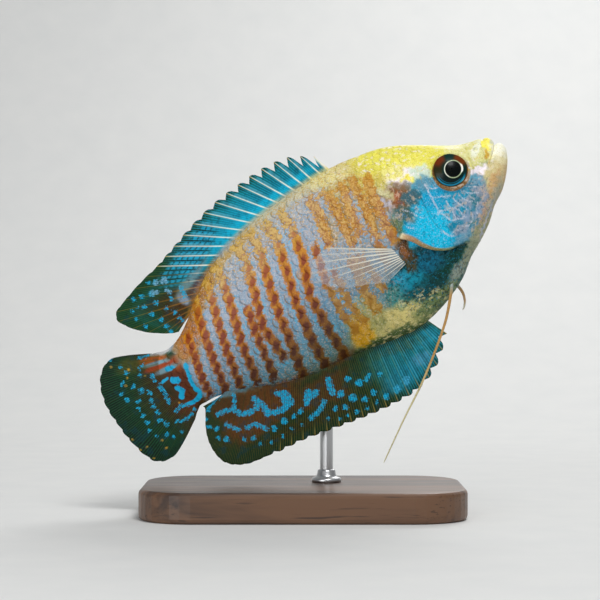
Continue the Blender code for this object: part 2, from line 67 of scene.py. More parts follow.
CARD_FRONT, CARD_BACK, CARD_TOP, CARD_WIDTH, CARD_BEND = -900.0, 420.0, 900.0, 2400.0, 260.0


class Signal:
    """A shader socket: arithmetic on it adds the Math nodes that work the value out."""

    def __init__(self, finish, socket):
        self.finish, self.socket = finish, socket

    def maths(self, operation, *values):
        return self.finish.node("ShaderNodeMath", {"operation": operation}, enumerate(values))

    def __add__(self, other):
        return self.maths("ADD", self, other)

    def __sub__(self, other):
        return self.maths("SUBTRACT", self, other)

    def __mul__(self, other):
        return self.maths("MULTIPLY", self, other)

    def __truediv__(self, other):
        return self.maths("DIVIDE", self, other)

    def __pow__(self, other):
        return self.maths("POWER", self, other)

    def __rsub__(self, other):
        return self.maths("SUBTRACT", other, self)

    def __rtruediv__(self, other):
        return self.maths("DIVIDE", other, self)

    __radd__, __rmul__ = __add__, __mul__


class Finish:
    """One procedural finish: a Principled material and the nodes that feed it."""

    def __init__(self, name, **constants):
        self.material = bpy.data.materials.new(name)
        self.material.use_nodes = True
        self.tree = self.material.node_tree
        self.shader = self.tree.nodes["Principled BSDF"]
        for key, value in constants.items():
            self.plug(self.shader.inputs[key.replace("_", " ")], value)

    def plug(self, socket, value):
        if isinstance(value, Signal):
            self.tree.links.new(value.socket, socket)
        elif socket.type == "RGBA":
            socket.default_value = (*value, 1)
        else:
            socket.default_value = value

    def node(self, kind, settings=(), inputs=(), output=0):
        """Adds a node, sets it up, joins its inputs by name or number, and gives one output."""
        made = self.tree.nodes.new(kind)
        for key, value in dict(settings).items():
            setattr(made, key, value)
        for key, value in dict(inputs).items():
            self.plug(made.inputs[key], value)
        return Signal(self, made.outputs[output])

    def attribute(self, name, output="Fac"):
        return self.node("ShaderNodeAttribute", {"attribute_name": name}, (), output)

    def object_place(self):
        return self.node("ShaderNodeTexCoord", (), (), "Object")

    def noise(self, size_mm, detail=2.0, vector=None, roughness=0.5, distortion=0.0):
        """Noise from 0 to 1 with features of this size, on the piece's own coordinates."""
        place = self.object_place() if vector is None else vector
        inputs = {"Vector": place, "Scale": 1000 / size_mm, "Detail": detail,
                  "Roughness": roughness, "Distortion": distortion}
        return self.node("ShaderNodeTexNoise", (), inputs)

    def cells(self, size_mm, feature, vector=None):
        """Voronoi cells of this size: the distance to a cell's middle or to its edge."""
        place = self.object_place() if vector is None else vector
        inputs = {"Vector": place, "Scale": 1000 / size_mm}
        return self.node("ShaderNodeTexVoronoi", {"feature": feature}, inputs, "Distance")

    def ease(self, value, low, high, to_low=0.0, to_high=1.0):
        """A smooth climb of the value between two limits."""
        inputs = {0: value, 1: low, 2: high, 3: to_low, 4: to_high}
        return self.node("ShaderNodeMapRange", {"interpolation_type": "SMOOTHSTEP"}, inputs)

    def mix(self, under, over, share, way="MIX"):
        """One colour laid over another by a share from 0 to 1."""
        settings = {"data_type": "RGBA", "blend_type": way}
        return self.node("ShaderNodeMix", settings, {0: share, 6: under, 7: over}, 2)

    def shift(self, under, amount):
        """A place moved by a vector."""
        return self.node("ShaderNodeVectorMath", {"operation": "ADD"}, {0: under, 1: amount})

    def stretch(self, under, scale):
        """A place scaled along its three axes."""
        return self.node("ShaderNodeVectorMath", {"operation": "MULTIPLY"}, {0: under, 1: scale})

    def bump(self, height, depth_mm, strength=1.0):
        """A normal from a height of 0 to 1 that stands for this depth."""
        inputs = {"Height": height, "Distance": depth_mm * MM, "Strength": strength}
        return self.node("ShaderNodeBump", (), inputs)

    def feed(self, **sockets):
        """Joins values to the main shader's sockets."""
        for key, value in sockets.items():
            self.plug(self.shader.inputs[key.replace("_", " ")], value)
        return self


def tint(red, green, blue):
    """A screen colour of 0 to 255 as the linear colour that shaders use."""
    share = np.array([red, green, blue]) / 255
    return tuple(np.where(share > 0.04045, ((share + 0.055) / 1.055) ** 2.4, share / 12.92))


def card_sheet():
    """The card's profile, flat, then a quarter circle, then upright, carried along its width."""
    turn = np.linspace(0, math.pi / 2, 24)
    middle_y, middle_z = CARD_BACK - CARD_BEND, CARD_BEND
    y = np.concatenate([[CARD_FRONT], middle_y + CARD_BEND * np.sin(turn), [CARD_BACK]])
    z = np.concatenate([[0.0], middle_z - CARD_BEND * np.cos(turn), [CARD_TOP]])
    across = np.array([[-CARD_WIDTH / 2], [CARD_WIDTH / 2]])
    points = np.stack(np.broadcast_arrays(across, y, z), axis=2).reshape(-1, 3) * MM
    n = len(y)
    faces = [(k, k + n, k + n + 1, k + 1) for k in range(n - 1)]
    mesh = bpy.data.meshes.new("card")
    mesh.from_pydata(points.tolist(), [], faces)
    mesh.shade_smooth()
    return mesh


card = bpy.data.objects.new("card", card_sheet())
bpy.context.scene.collection.objects.link(card)
pale_card = Finish("pale_card", Roughness=0.85)
pale_card.feed(Base_Color=pale_card.mix(tint(214, 215, 214), tint(222, 222, 220), pale_card.noise(9.0)))
card.data.materials.append(pale_card.material)
card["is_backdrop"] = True

camera_data = bpy.data.cameras.new("side_view")
camera_data.lens, camera_data.sensor_width = LENS, SENSOR
camera_data.clip_start, camera_data.clip_end = 0.01, 10.0
camera = bpy.data.objects.new("side_view", camera_data)
camera.location = [v * MM for v in LENS_PLACE]
camera.rotation_euler = (math.radians(90), 0, 0)
bpy.context.scene.collection.objects.link(camera)
bpy.context.scene.camera = camera


def soft_box(name, place, size, power, colour=(1, 1, 1)):
    """A square area light that faces the middle of the fish."""
    data = bpy.data.lights.new(name, "AREA")
    data.size, data.energy, data.color = size * MM, power, colour
    light = bpy.data.objects.new(name, data)
    light.location = [v * MM for v in place]
    away = light.location - camera.location * 0
    away.z -= LENS_PLACE[2] * MM
    light.rotation_euler = away.to_track_quat("Z", "Y").to_euler()
    bpy.context.scene.collection.objects.link(light)


soft_box("key_box", (100, -300, 520), 200, 1.8)
soft_box("side_box", (-250, -400, 40), 240, 1.0)
soft_box("back_box", (120, 330, 330), 240, 0.8)
world = bpy.data.worlds.new("room")
world.use_nodes = True
world.node_tree.nodes["Background"].inputs["Color"].default_value = (*tint(236, 238, 240), 1)
world.node_tree.nodes["Background"].inputs["Strength"].default_value = 0.36
bpy.context.scene.world = world
bpy.context.scene.view_settings.view_transform = "Standard"

# THE SKIN
# One cast skin from the lips to the root of the tail. Its side is flat round the eye, the gill
# cover swells to a free edge over the shoulder, and the jaws, nostrils and cheek have their folds.
PITCH = math.radians(35.0)
FISH_HEIGHT = 35.9
AXIS_X, AXIS_Z = -0.41, 0.29   # where the lens's axis meets the middle plane
SKIN_DEPTH = 0.12
BODY_RINGS = np.array([
    # top x, top z, side x, half width, side z, bottom x, bottom z, slim above, slim below
    (40.60, 2.50, 39.70, 1.15, 1.60, 40.62, 2.40, 0.90, 0.90),
    (41.20, 2.98, 39.30, 1.72, 1.38, 41.26, 2.86, 0.90, 0.90),
    (41.38, 3.70, 39.12, 2.00, 1.25, 42.25, 2.60, 0.85, 0.80),
    (41.05, 4.50, 38.95, 2.20, 1.05, 42.50, 1.35, 0.85, 0.80),
    (40.50, 4.80, 38.75, 2.28, 0.95, 41.92, 0.02, 0.90, 0.85),
    (40.15, 4.78, 38.45, 2.26, 0.85, 41.12, -1.12, 0.95, 0.90),
    (39.55, 5.25, 37.60, 2.62, 0.75, 39.86, -2.50, 1.00, 0.95),
    (38.00, 5.70, 36.20, 3.20, 0.80, 37.98, -4.10, 1.00, 1.00),
    (36.20, 6.50, 34.70, 3.80, 0.95, 35.65, -5.45, 1.00, 1.00),
    (34.00, 8.00, 32.80, 4.40, 1.05, 33.15, -7.42, 1.05, 1.05),
    (31.00, 10.20, 30.30, 5.00, 1.00, 30.32, -9.00, 1.05, 1.10),
    (28.00, 12.20, 27.50, 5.55, 0.85, 27.40, -10.35, 1.10, 1.10),
    (25.00, 13.65, 24.60, 6.00, 0.70, 24.50, -12.30, 1.10, 1.15),
    (21.50, 14.60, 21.30, 6.25, 0.70, 21.35, -13.65, 1.15, 1.20),
    (17.50, 15.50, 17.50, 6.35, 0.90, 17.50, -14.70, 1.15, 1.25),
    (12.50, 15.95, 12.50, 6.25, 1.10, 12.50, -15.10, 1.15, 1.30),
    (6.50, 16.00, 6.50, 6.00, 1.30, 6.50, -13.80, 1.15, 1.35),
    (0.50, 15.70, 0.50, 5.60, 1.40, 0.50, -12.30, 1.15, 1.35),
    (-5.50, 14.80, -5.50, 5.00, 1.50, -5.50, -11.30, 1.15, 1.35),
    (-10.50, 13.10, -10.50, 4.25, 1.50, -10.50, -9.80, 1.15, 1.30),
    (-14.50, 10.90, -14.50, 3.45, 1.40, -14.50, -7.90, 1.15, 1.25),
    (-18.00, 8.40, -18.00, 2.65, 1.20, -18.00, -6.40, 1.10, 1.20),
    (-21.00, 6.80, -21.00, 1.95, 1.05, -21.00, -5.10, 1.05, 1.10),
    (-23.20, 6.40, -23.40, 1.30, 0.95, -23.20, -4.80, 1.00, 1.00),
    (-24.20, 6.20, -24.90, 0.80, 0.90, -24.20, -4.60, 0.90, 0.90),
])
# The skin runs on as a thin wedge on both sides of the tail fin's root
TAIL_TAPER = np.array([
    (-24.35, 6.62, -24.95, 0.85, 0.90, -24.20, -4.70, 0.90, 0.90),
    (-25.10, 6.95, -26.30, 0.48, 0.90, -24.90, -5.10, 0.90, 0.90),
    (-25.90, 7.20, -27.60, 0.24, 0.90, -25.70, -5.50, 0.90, 0.90),
    (-26.30, 7.25, -28.40, 0.05, 0.90, -26.10, -5.60, 0.90, 0.90),
])
SKIN_RINGS = np.vstack([BODY_RINGS[:-1], TAIL_TAPER])
LAST_HEAD_RING = 14
HEAD_STEPS, TRUNK_STEPS, ROUND_STEPS = 15, 8, 300
HEAD_EDGE = ((25.2, 17.0), (23.4, 12.6), (21.3, 8.0), (19.8, 3.8), (19.2, 0.9), (19.4, -1.4),
             (20.7, -3.9), (22.4, -5.9), (24.8, -7.4), (27.6, -8.2), (30.0, -9.4), (32.2, -12.0))
GILL_STEP, GILL_X, GILL_Z, GILL_REACH = 0.4, 28.0, 0.6, 8.4
EYE_X, EYE_Y, EYE_Z = 32.4, 4.28, 3.6
ORBIT_SLOPE_X, ORBIT_SLOPE_Z = -0.2, -0.15
ORBIT_RADIUS, ORBIT_FADE = 4.0, 2.2
LID_RADIUS, LID_RISE, LID_WIDTH = 3.45, 0.28, 0.45
CUP_RADIUS, CUP_DEPTH = 2.95, 1.4
# Pits and folds of the head as the lens sees them: points of the line, half its width, depth
NOSTRILS = ((38.3, 4.2, 0.36), (37.2, 5.1, 0.30))
FOLDS = (
    (((39.9, 4.6), (39.5, 3.6), (39.2, 2.4), (38.75, 0.9), (38.5, 0.2)), 0.24, 0.20),
    (((38.2, -0.6), (36.4, -2.0), (34.0, -3.6), (31.0, -5.2), (28.0, -6.3)), 0.34, 0.08),
    (((26.2, 4.2), (26.0, 2.1), (25.5, -0.4), (25.5, -2.3), (25.8, -3.8), (27.0, -5.7)), 0.30, 0.10),
    (((36.9, 1.0), (35.2, -0.6), (33.0, -1.2), (30.6, -0.8), (29.2, 0.8)), 0.32, 0.06),
    (((37.6, -4.1), (34.5, -5.8), (31.0, -7.6), (27.0, -9.4)), 0.30, 0.08),
    (((22.5, 6.2), (25.5, 6.6), (28.6, 6.6)), 0.4, 0.06),
)


def spread_rows(points, count):
    """Rows of a table run through by a Catmull-Rom curve, at this many places evenly by row."""
    rows = np.asarray(points, float)
    padded = np.vstack([2 * rows[0] - rows[1], rows, 2 * rows[-1] - rows[-2]])
    at = np.linspace(0, len(rows) - 1, count)
    i = np.minimum(at.astype(int), len(rows) - 2)
    t = (at - i)[:, None]
    a, b, c, d = padded[i], padded[i + 1], padded[i + 2], padded[i + 3]
    return b + 0.5 * t * (c - a + t * (2 * a - 5 * b + 4 * c - d + t * (3 * (b - c) + d - a)))


def soft_step(value, width):
    """0 below zero and 1 above it, smooth over the width."""
    t = np.clip(value / width + 0.5, 0, 1)
    return t * t * (3 - 2 * t)


def ring_points(rings, turn):
    """A grid of points: round each ring, y is the half width times a power of the sine, and x and
    z go from the side point towards the top or the bottom one by the cosine."""
    cos, sin = np.cos(turn), np.sin(turn)
    above = cos >= 0
    cols = [rings[:, [k]] for k in range(9)]
    top_x, top_z, side_x, width, side_z, low_x, low_z, slim_up, slim_down = cols
    slim = np.where(above, slim_up, slim_down)
    x = side_x + np.where(above, top_x - side_x, low_x - side_x) * np.abs(cos)
    z = side_z + np.where(above, top_z - side_z, low_z - side_z) * np.abs(cos)
    y = -width * np.sign(sin) * np.abs(sin) ** slim
    return np.stack([x, y, z], axis=2)


def unit(vectors):
    return vectors / np.maximum(np.linalg.norm(vectors, axis=-1, keepdims=True), 1e-9)


def grid_normals(grid):
    """Outward unit normals: the cross product of the steps along the body and round it."""
    return unit(np.cross(np.gradient(grid, axis=0), np.gradient(grid, axis=1)))


def from_line(x, z, line):
    """The least distance in side view from each place to a chain of points, and which side of
    the chain it is on: above 0 to the left of the way that the chain runs."""
    chain = np.asarray(line, float)
    if len(chain) == 1:
        return np.hypot(x - chain[0, 0], z - chain[0, 1]), np.ones_like(x)
    least, side = np.full(x.shape, 1e9), np.ones(x.shape)
    for (x0, z0), (x1, z1) in zip(chain[:-1], chain[1:]):
        dx, dz = x1 - x0, z1 - z0
        t = np.clip(((x - x0) * dx + (z - z0) * dz) / (dx * dx + dz * dz), 0, 1)
        gap = np.hypot(x - x0 - t * dx, z - z0 - t * dz)
        nearer = gap < least
        least = np.where(nearer, gap, least)
        side = np.where(nearer, np.sign(dx * (z - z0) - dz * (x - x0)), side)
    return least, side


def side_share(y):
    """0 on the middle line and 1 on the flanks."""
    return np.clip(np.abs(y) / 2.0, 0, 1)


def as_seen(x, y, z):
    """Where a place on the flank shows against the middle plane: spread from the lens's axis by
    the lens's distance to that plane over its distance to the place."""
    spread = LENS_PLACE[1] / (LENS_PLACE[1] + np.abs(y))
    return AXIS_X + (x - AXIS_X) * spread, AXIS_Z + (z - AXIS_Z) * spread


def ahead_of_edge(x, z):
    """How far each place is ahead of the gill cover's free edge, in side view."""
    gap, side = from_line(x, z, spread_rows(HEAD_EDGE, 41))
    return gap * side


def gill_swell(grid):
    """How far the gill cover stands out: it climbs away from its middle towards its edge."""
    x, y, z = grid[..., 0], grid[..., 1], grid[..., 2]
    from_gill = np.hypot(x - GILL_X, z - GILL_Z)
    swell = GILL_STEP * soft_step(from_gill - GILL_REACH * 0.65, GILL_REACH * 0.7)
    return swell * soft_step(GILL_X + 3.0 - x, 6.0) * soft_step(6.0 - z, 6.0) * side_share(y)


def orbit_plane(x, z):
    """The height of the flat round the eye, with the low rim of the lid on it."""
    from_eye = np.hypot(x - EYE_X, z - EYE_Z)
    lid = LID_RISE * np.exp(-(((from_eye - LID_RADIUS) / LID_WIDTH) ** 2))
    return EYE_Y + ORBIT_SLOPE_X * (x - EYE_X) + ORBIT_SLOPE_Z * (z - EYE_Z) + lid


def flatten_orbit(points):
    """The side moved on to the orbit's plane, fully near the eye and not at all past its fade."""
    x, y, z = points[..., 0], points[..., 1], points[..., 2]
    from_eye = np.hypot(x - EYE_X, z - EYE_Z)
    flat = soft_step(ORBIT_RADIUS - from_eye, ORBIT_FADE) * side_share(y)
    out = points.copy()
    out[..., 1] += flat * (np.sign(y) * orbit_plane(x, z) - y)
    return out


def fold_depth(x, y, z):
    """How deep the head's folds and nostrils are at each place: a bell curve across each."""
    depth = np.zeros_like(x)
    x, z = as_seen(x, y, z)
    for line, width, most in FOLDS:
        gap, _ = from_line(x, z, spread_rows(line, 4 * len(line)))
        depth = np.maximum(depth, most * np.exp(-((gap / width) ** 2)))
    for at_x, at_z, radius in NOSTRILS:
        gap = np.hypot(x - at_x, z - at_z)
        depth = np.maximum(depth, 1.6 * radius * soft_step(radius * 0.85 - gap, radius * 0.7))
    return depth * side_share(y)


def body_surface(turn, steps=(HEAD_STEPS, TRUNK_STEPS)):
    """The body's plain surface and the head's swollen and flattened one, as two alike grids."""
    rings = spread_rows(SKIN_RINGS, (len(SKIN_RINGS) - 1) * 120 + 1)
    last = len(SKIN_RINGS) - 1
    places = np.concatenate([
        np.linspace(0, LAST_HEAD_RING, LAST_HEAD_RING * steps[0] + 1)[:-1],
        np.linspace(LAST_HEAD_RING, last, (last - LAST_HEAD_RING) * steps[1] + 1)])
    plain = ring_points(rings[np.round(places * 120).astype(int)], turn)
    swollen = plain + grid_normals(plain) * gill_swell(plain)[..., None]
    return plain, flatten_orbit(swollen)


def skin_grid():
    """The skin: the head's surface ahead of the gill cover's edge and the plain one behind it,
    let in by the scales' depth, with its folds, and cupped under the eyes."""
    turn = np.linspace(0, 2 * np.pi, ROUND_STEPS + 1)
    plain, head = body_surface(turn)
    x, z = head[..., 0], head[..., 2]
    ahead = ahead_of_edge(x, z)
    share = soft_step(ahead - 0.1, 0.5)[..., None]
    grid = plain + (head - plain) * share
    y = grid[..., 1]
    loose = soft_step(3.0 - z, 3.0) * side_share(y)
    groove = 0.22 * np.exp(-(((ahead + 0.25) / 0.3) ** 2)) * loose
    sunk = SKIN_DEPTH * soft_step(36.0 - x, 4.0) + groove + fold_depth(x, y, z)
    from_eye = np.hypot(x - EYE_X, z - EYE_Z)
    sunk += (0.12 * soft_step(3.6 - from_eye, 0.5)
             + CUP_DEPTH * soft_step(CUP_RADIUS - from_eye, 0.7)) * side_share(y)
    return (grid - grid_normals(grid) * sunk[..., None])[:, :-1]


def to_row(points):
    """From the fish's own frame in millimetres to the stand's frame in metres."""
    x, y, z = points[..., 0], points[..., 1], points[..., 2]
    cos, sin = math.cos(PITCH), math.sin(PITCH)
    return np.stack([x * cos - z * sin, y, x * sin + z * cos + FISH_HEIGHT], axis=-1) * MM


def grid_faces(rows, columns, around=False):
    """Quads of a grid of points, and one more column of them where it closes on itself."""
    index = np.arange(rows * columns).reshape(rows, columns)
    if around:
        index = np.hstack([index, index[:, :1]])
    return np.stack([index[:-1, :-1], index[1:, :-1], index[1:, 1:], index[:-1, 1:]],
                    axis=2).reshape(-1, 4)


def enclosed(points, faces):
    """The volume inside the faces: below 0 where they point inwards."""
    total = 0.0
    for width in sorted({len(face) for face in faces}):
        corner = points[np.array([face for face in faces if len(face) == width])]
        for k in range(1, width - 1):
            total += np.einsum("ij,ij->", corner[:, 0], np.cross(corner[:, k], corner[:, k + 1]))
    return total


def new_piece(name, points, faces, finish, stands_for=(), fields=None, bake_places=None):
    """A smooth piece of the fish from points in its own frame, with its fields as attributes."""
    points = to_row(points.reshape(-1, 3))
    faces = faces.tolist() if isinstance(faces, np.ndarray) else faces
    if enclosed(points, faces) < 0:
        faces = [face[::-1] for face in faces]
    mesh = bpy.data.meshes.new(name)
    mesh.from_pydata(points.tolist(), [], faces)
    mesh.shade_smooth()
    for key, values in (fields or {}).items():
        values = np.asarray(values, np.float32)
        if values.ndim == 1:
            mesh.attributes.new(key, "FLOAT", "POINT").data.foreach_set("value", values)
        else:
            rgba = np.hstack([values, np.ones((len(values), 1), np.float32)])
            mesh.attributes.new(key, "FLOAT_COLOR", "POINT").data.foreach_set("color", rgba.ravel())
    if bake_places is not None:
        corner = np.zeros(len(mesh.loops), int)
        mesh.loops.foreach_get("vertex_index", corner)
        bake_map = mesh.uv_layers.new(name="OFBake")
        bake_map.uv.foreach_set("vector", bake_places[corner].astype(np.float32).ravel())
    mesh.materials.append(finish.material)
    made = bpy.data.objects.new(name, mesh)
    bpy.context.scene.collection.objects.link(made)
    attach(made, "root")
    if stands_for:
        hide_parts(*stands_for)
    return made


# The markings are placed as the lens sees them. The ground colour by height, back to belly, then
# patches laid over it from the tail to the snout: middle x and z, half length, half height, tilt,
# softness of the edge, screen colour.
GROUND_HEIGHTS = (-15.0, -12.0, -8.0, -4.0, 0.0, 5.0, 9.0, 12.0, 14.5, 16.0)
GROUND_COLOURS = ((50, 78, 44), (92, 112, 90), (92, 138, 150), (106, 146, 170), (130, 154, 174),
                  (150, 166, 184), (156, 168, 184), (160, 170, 182), (166, 174, 180), (176, 180, 174))
PATCHES = (
    (-13.5, 11.2, 6.0, 1.9, 32, 0.6, (168, 108, 22)),
    (-19.5, 5.6, 3.6, 2.2, 40, 0.7, (172, 106, 24)),
    (-5.0, 13.6, 6.0, 0.8, 12, 0.9, (190, 158, 96)),
    (9.0, 15.5, 11.0, 1.0, 0, 0.9, (198, 192, 160)),
    (2.8, 3.3, 1.3, 1.0, 0, 0.8, (172, 140, 112)),
    (13.6, 7.8, 1.5, 4.2, -8, 0.7, (172, 134, 62)),
    (10.4, 7.2, 1.1, 2.6, -8, 0.8, (176, 142, 82)),
    (17.8, 6.4, 1.3, 4.2, -10, 0.7, (164, 128, 52)),
    (15.6, 11.8, 2.6, 1.3, 0, 0.8, (194, 170, 92)),
    (10.0, -12.0, 7.5, 2.7, -4, 0.6, (214, 200, 124)),
    (8.0, -8.5, 2.4, 3.2, 0, 0.7, (160, 160, 96)),
    (5.0, -10.4, 2.0, 3.0, -6, 0.7, (214, 160, 16)),
    (9.4, -13.7, 8.0, 0.7, -11, 0.9, (84, 104, 52)),
    (-12.0, -9.4, 9.5, 0.8, -20, 0.8, (106, 64, 30)),
    (3.0, -13.7, 13.0, 1.3, -11, 0.8, (44, 66, 30)),
    (-2.5, -12.4, 4.5, 1.0, 10, 0.8, (96, 62, 26)),
    (17.0, 14.4, 6.0, 1.8, -12, 0.9, (222, 210, 140)),
    (21.5, 11.0, 3.2, 4.2, -20, 0.8, (206, 190, 84)),
    (30.0, 9.2, 12.0, 4.4, -36, 0.45, (232, 224, 86)),
    (37.6, 4.6, 4.4, 2.9, -22, 0.6, (226, 222, 150)),
    (38.6, 4.2, 1.6, 0.7, 30, 0.8, (238, 240, 214)),
    (40.3, 3.7, 0.95, 1.0, 10, 0.4, (252, 240, 96)),
    (39.1, 2.4, 0.9, 0.32, 55, 0.7, (210, 170, 66)),
    (39.7, 1.6, 0.9, 0.7, 30, 0.7, (244, 236, 160)),
    (38.9, 0.9, 0.7, 0.3, 30, 0.8, (206, 184, 112)),
    (41.6, 1.5, 1.5, 2.2, 12, 0.6, (252, 250, 226)),
    (40.4, -0.8, 1.6, 1.8, 0, 0.7, (234, 222, 170)),
    (25.9, 7.5, 3.0, 1.4, -22, 0.6, (250, 240, 246)),
    (26.4, 6.4, 1.4, 0.5, -30, 0.8, (246, 232, 90)),
    (24.6, 8.9, 1.8, 1.0, -30, 0.8, (236, 228, 130)),
    (28.6, 6.2, 2.0, 1.0, -30, 0.8, (206, 222, 200)),
    (26.2, -0.9, 7.0, 6.2, -10, 0.28, (2, 168, 210)),
    (24.8, -2.6, 3.0, 4.4, -32, 0.8, (0, 190, 230)),
    (28.0, 1.8, 2.2, 2.2, -30, 0.8, (0, 160, 204)),
    (32.4, -1.0, 4.0, 1.7, -22, 0.7, (34, 156, 194)),
    (31.2, -4.4, 3.4, 3.0, -35, 0.55, (132, 158, 184)),
    (34.8, -3.0, 3.2, 1.9, -35, 0.7, (146, 156, 172)),
    (32.4, -1.2, 1.0, 0.6, -30, 0.8, (40, 160, 196)),
    (33.4, -1.9, 0.8, 0.5, -30, 0.8, (44, 128, 150)),
    (33.4, -3.0, 0.9, 0.6, -20, 0.8, (56, 124, 140)),
    (30.5, -2.9, 0.8, 0.7, 20, 0.8, (20, 150, 184)),
    (32.1, -3.8, 0.8, 0.6, 0, 0.8, (60, 138, 164)),
    (28.1, -4.6, 1.2, 0.9, -20, 0.8, (0, 128, 160)),
    (30.6, -5.7, 1.1, 0.6, 20, 0.8, (64, 124, 124)),
    (35.0, 0.6, 1.2, 0.5, -30, 0.8, (110, 180, 206)),
    (29.0, -6.7, 2.6, 0.9, 10, 0.7, (98, 152, 176)),
    (28.4, -5.5, 1.4, 0.6, -10, 0.9, (138, 154, 172)),
    (36.6, 0.9, 1.8, 0.75, -25, 0.6, (254, 244, 250)),
    (39.4, -3.4, 3.0, 1.4, 62, 0.8, (204, 178, 130)),
    (38.2, -1.2, 2.4, 1.6, 40, 0.7, (216, 200, 144)),
    (36.6, -3.6, 4.2, 0.9, 44, 0.7, (204, 166, 110)),
    (32.6, -5.9, 3.4, 0.5, 34, 0.8, (186, 156, 134)),
    (35.0, -5.6, 5.2, 0.9, 40, 0.7, (172, 168, 144)),
    (30.6, -8.2, 5.2, 1.1, 30, 0.8, (152, 154, 112)),
    (32.6, -6.9, 4.2, 0.32, 34, 0.9, (170, 176, 186)),
    (27.9, 4.4, 1.7, 1.3, -30, 0.8, (84, 146, 170)),
    (22.7, 5.0, 2.8, 2.2, -10, 0.8, (126, 84, 44)),
    (23.0, 5.2, 1.1, 1.0, 0, 1.0, (158, 72, 28)),
    (22.3, 4.0, 0.9, 1.0, 0, 1.0, (134, 74, 36)),
    (24.8, 3.8, 1.5, 1.3, 0, 0.7, (60, 96, 104)),
    (22.2, 1.9, 1.7, 1.5, -30, 0.7, (66, 94, 86)),
    (21.1, 7.4, 2.4, 0.7, -60, 0.8, (198, 192, 140)),
    (20.8, 5.4, 1.8, 0.45, -78, 0.8, (180, 178, 196)),
    (20.0, 1.3, 1.0, 1.8, 0, 0.7, (92, 112, 74)),
)
# Behind the gill cover's edge only: the dark, blue-grained breast
BREAST_PATCHES = (
    (20.6, -8.3, 7.8, 4.6, -14, 0.36, (0, 62, 62)),
    (24.8, -8.7, 4.2, 1.9, 18, 0.7, (0, 58, 44)),
    (20.6, -6.6, 3.4, 1.8, -20, 0.7, (0, 92, 118)),
    (15.6, -7.0, 2.7, 1.8, 0, 0.7, (20, 158, 192)),
    (17.2, -8.2, 1.8, 1.2, 0, 0.8, (8, 140, 164)),
    (16.8, -9.8, 2.3, 1.3, 0, 0.8, (0, 88, 96)),
    (13.2, -8.3, 1.6, 2.0, 0, 0.8, (40, 132, 132)),
)
# Over both: the throat's pale strip, and the brown pit behind the gill cover
THROAT_PATCHES = (
    (27.2, -9.6, 3.8, 0.9, 30, 0.7, (150, 156, 126)),
    (23.4, -11.4, 3.0, 0.9, 30, 0.8, (146, 158, 144)),
    (18.6, -12.8, 4.8, 1.2, 4, 0.8, (112, 132, 80)),
    (18.9, -3.2, 1.2, 2.8, -12, 0.6, (84, 56, 24)),
    (18.4, -3.4, 0.5, 1.0, -12, 0.8, (140, 84, 34)),
    (18.2, -5.8, 0.8, 1.2, -30, 0.8, (70, 62, 34)),
)
# The free edge of the gill cover
LIP_LINE = ((19.45, -0.1), (19.75, -0.76), (20.28, -1.35), (21.03, -2.4), (21.6, -3.65), (22.3, -4.75),
            (23.1, -5.69), (24.2, -6.56), (25.4, -7.16), (26.7, -7.42), (28.4, -7.67))
# The rusty bars: x at each of these heights, the lowest and the highest z, half the width
BAR_HEIGHTS = (-11.0, -5.5, 0.0, 5.5, 11.0)
BARS = (
    ((-22.6, -22.2, -21.1, -19.5, -18.2), -4.5, 6.8, 0.66),
    ((-20.6, -19.4, -18.1, -16.6, -14.9), -6.2, 10.6, 0.68),
    ((-18.0, -16.8, -15.4, -13.6, -11.7), -7.0, 12.8, 0.68),
    ((-15.0, -13.8, -12.5, -10.6, -8.9), -7.4, 13.8, 0.72),
    ((-12.0, -10.8, -9.6, -8.1, -7.0), -8.4, 4.6, 0.66),
    ((-9.2, -8.0, -8.1, -5.9, -3.9), -6.7, 14.4, 0.72),
    ((-7.3, -5.9, -4.7, -3.0, -1.0), -11.4, 14.8, 0.76),
    ((-3.1, -2.4, -1.2, 0.6, 2.3), -12.0, 15.0, 0.76),
    ((0.5, 0.8, 1.5, 4.0, 5.4), -13.0, 14.8, 0.76),
    ((4.6, 4.2, 4.9, 6.6, 8.0), -10.0, 6.6, 0.66),
    ((6.6, 6.1, 6.9, 7.8, 8.4), -9.5, 1.4, 0.62),
    ((9.4, 9.3, 10.6, 11.0, 11.6), -9.0, 1.2, 0.92),
    ((9.4, 9.0, 8.6, 9.0, 10.8), 4.3, 13.8, 0.78),
    ((12.6, 12.2, 12.1, 12.4, 13.6), -6.6, 0.9, 0.62),
    ((13.0, 12.6, 12.0, 12.6, 13.6), 2.2, 13.0, 0.78),
    ((14.2, 14.0, 13.8, 14.7, 16.2), 3.0, 12.8, 0.74),
    ((14.8, 14.8, 15.8, 17.2, 18.3), -3.6, 12.6, 0.66),
    ((18.0, 18.0, 18.4, 19.2, 20.5), -1.2, 11.2, 0.78),
)
BAR_TINT_HEIGHTS = (-12.0, -7.0, -3.0, 0.0, 4.0, 7.0, 10.0, 13.5)
BAR_TINTS = ((104, 70, 18), (112, 72, 14), (150, 92, 10), (178, 108, 6), (192, 120, 4),
             (198, 130, 6), (202, 146, 20), (204, 166, 62))
BEAD_TINTS = ((64, 28, 6), (70, 28, 4), (88, 28, 2), (112, 30, 0), (126, 38, 0),
              (142, 52, 2), (174, 98, 8), (196, 142, 44))
BEAD_PLACES, BEAD_PITCH = (-24.0, -15.0, 0.0, 16.0), (1.5, 1.95, 2.40, 2.40)
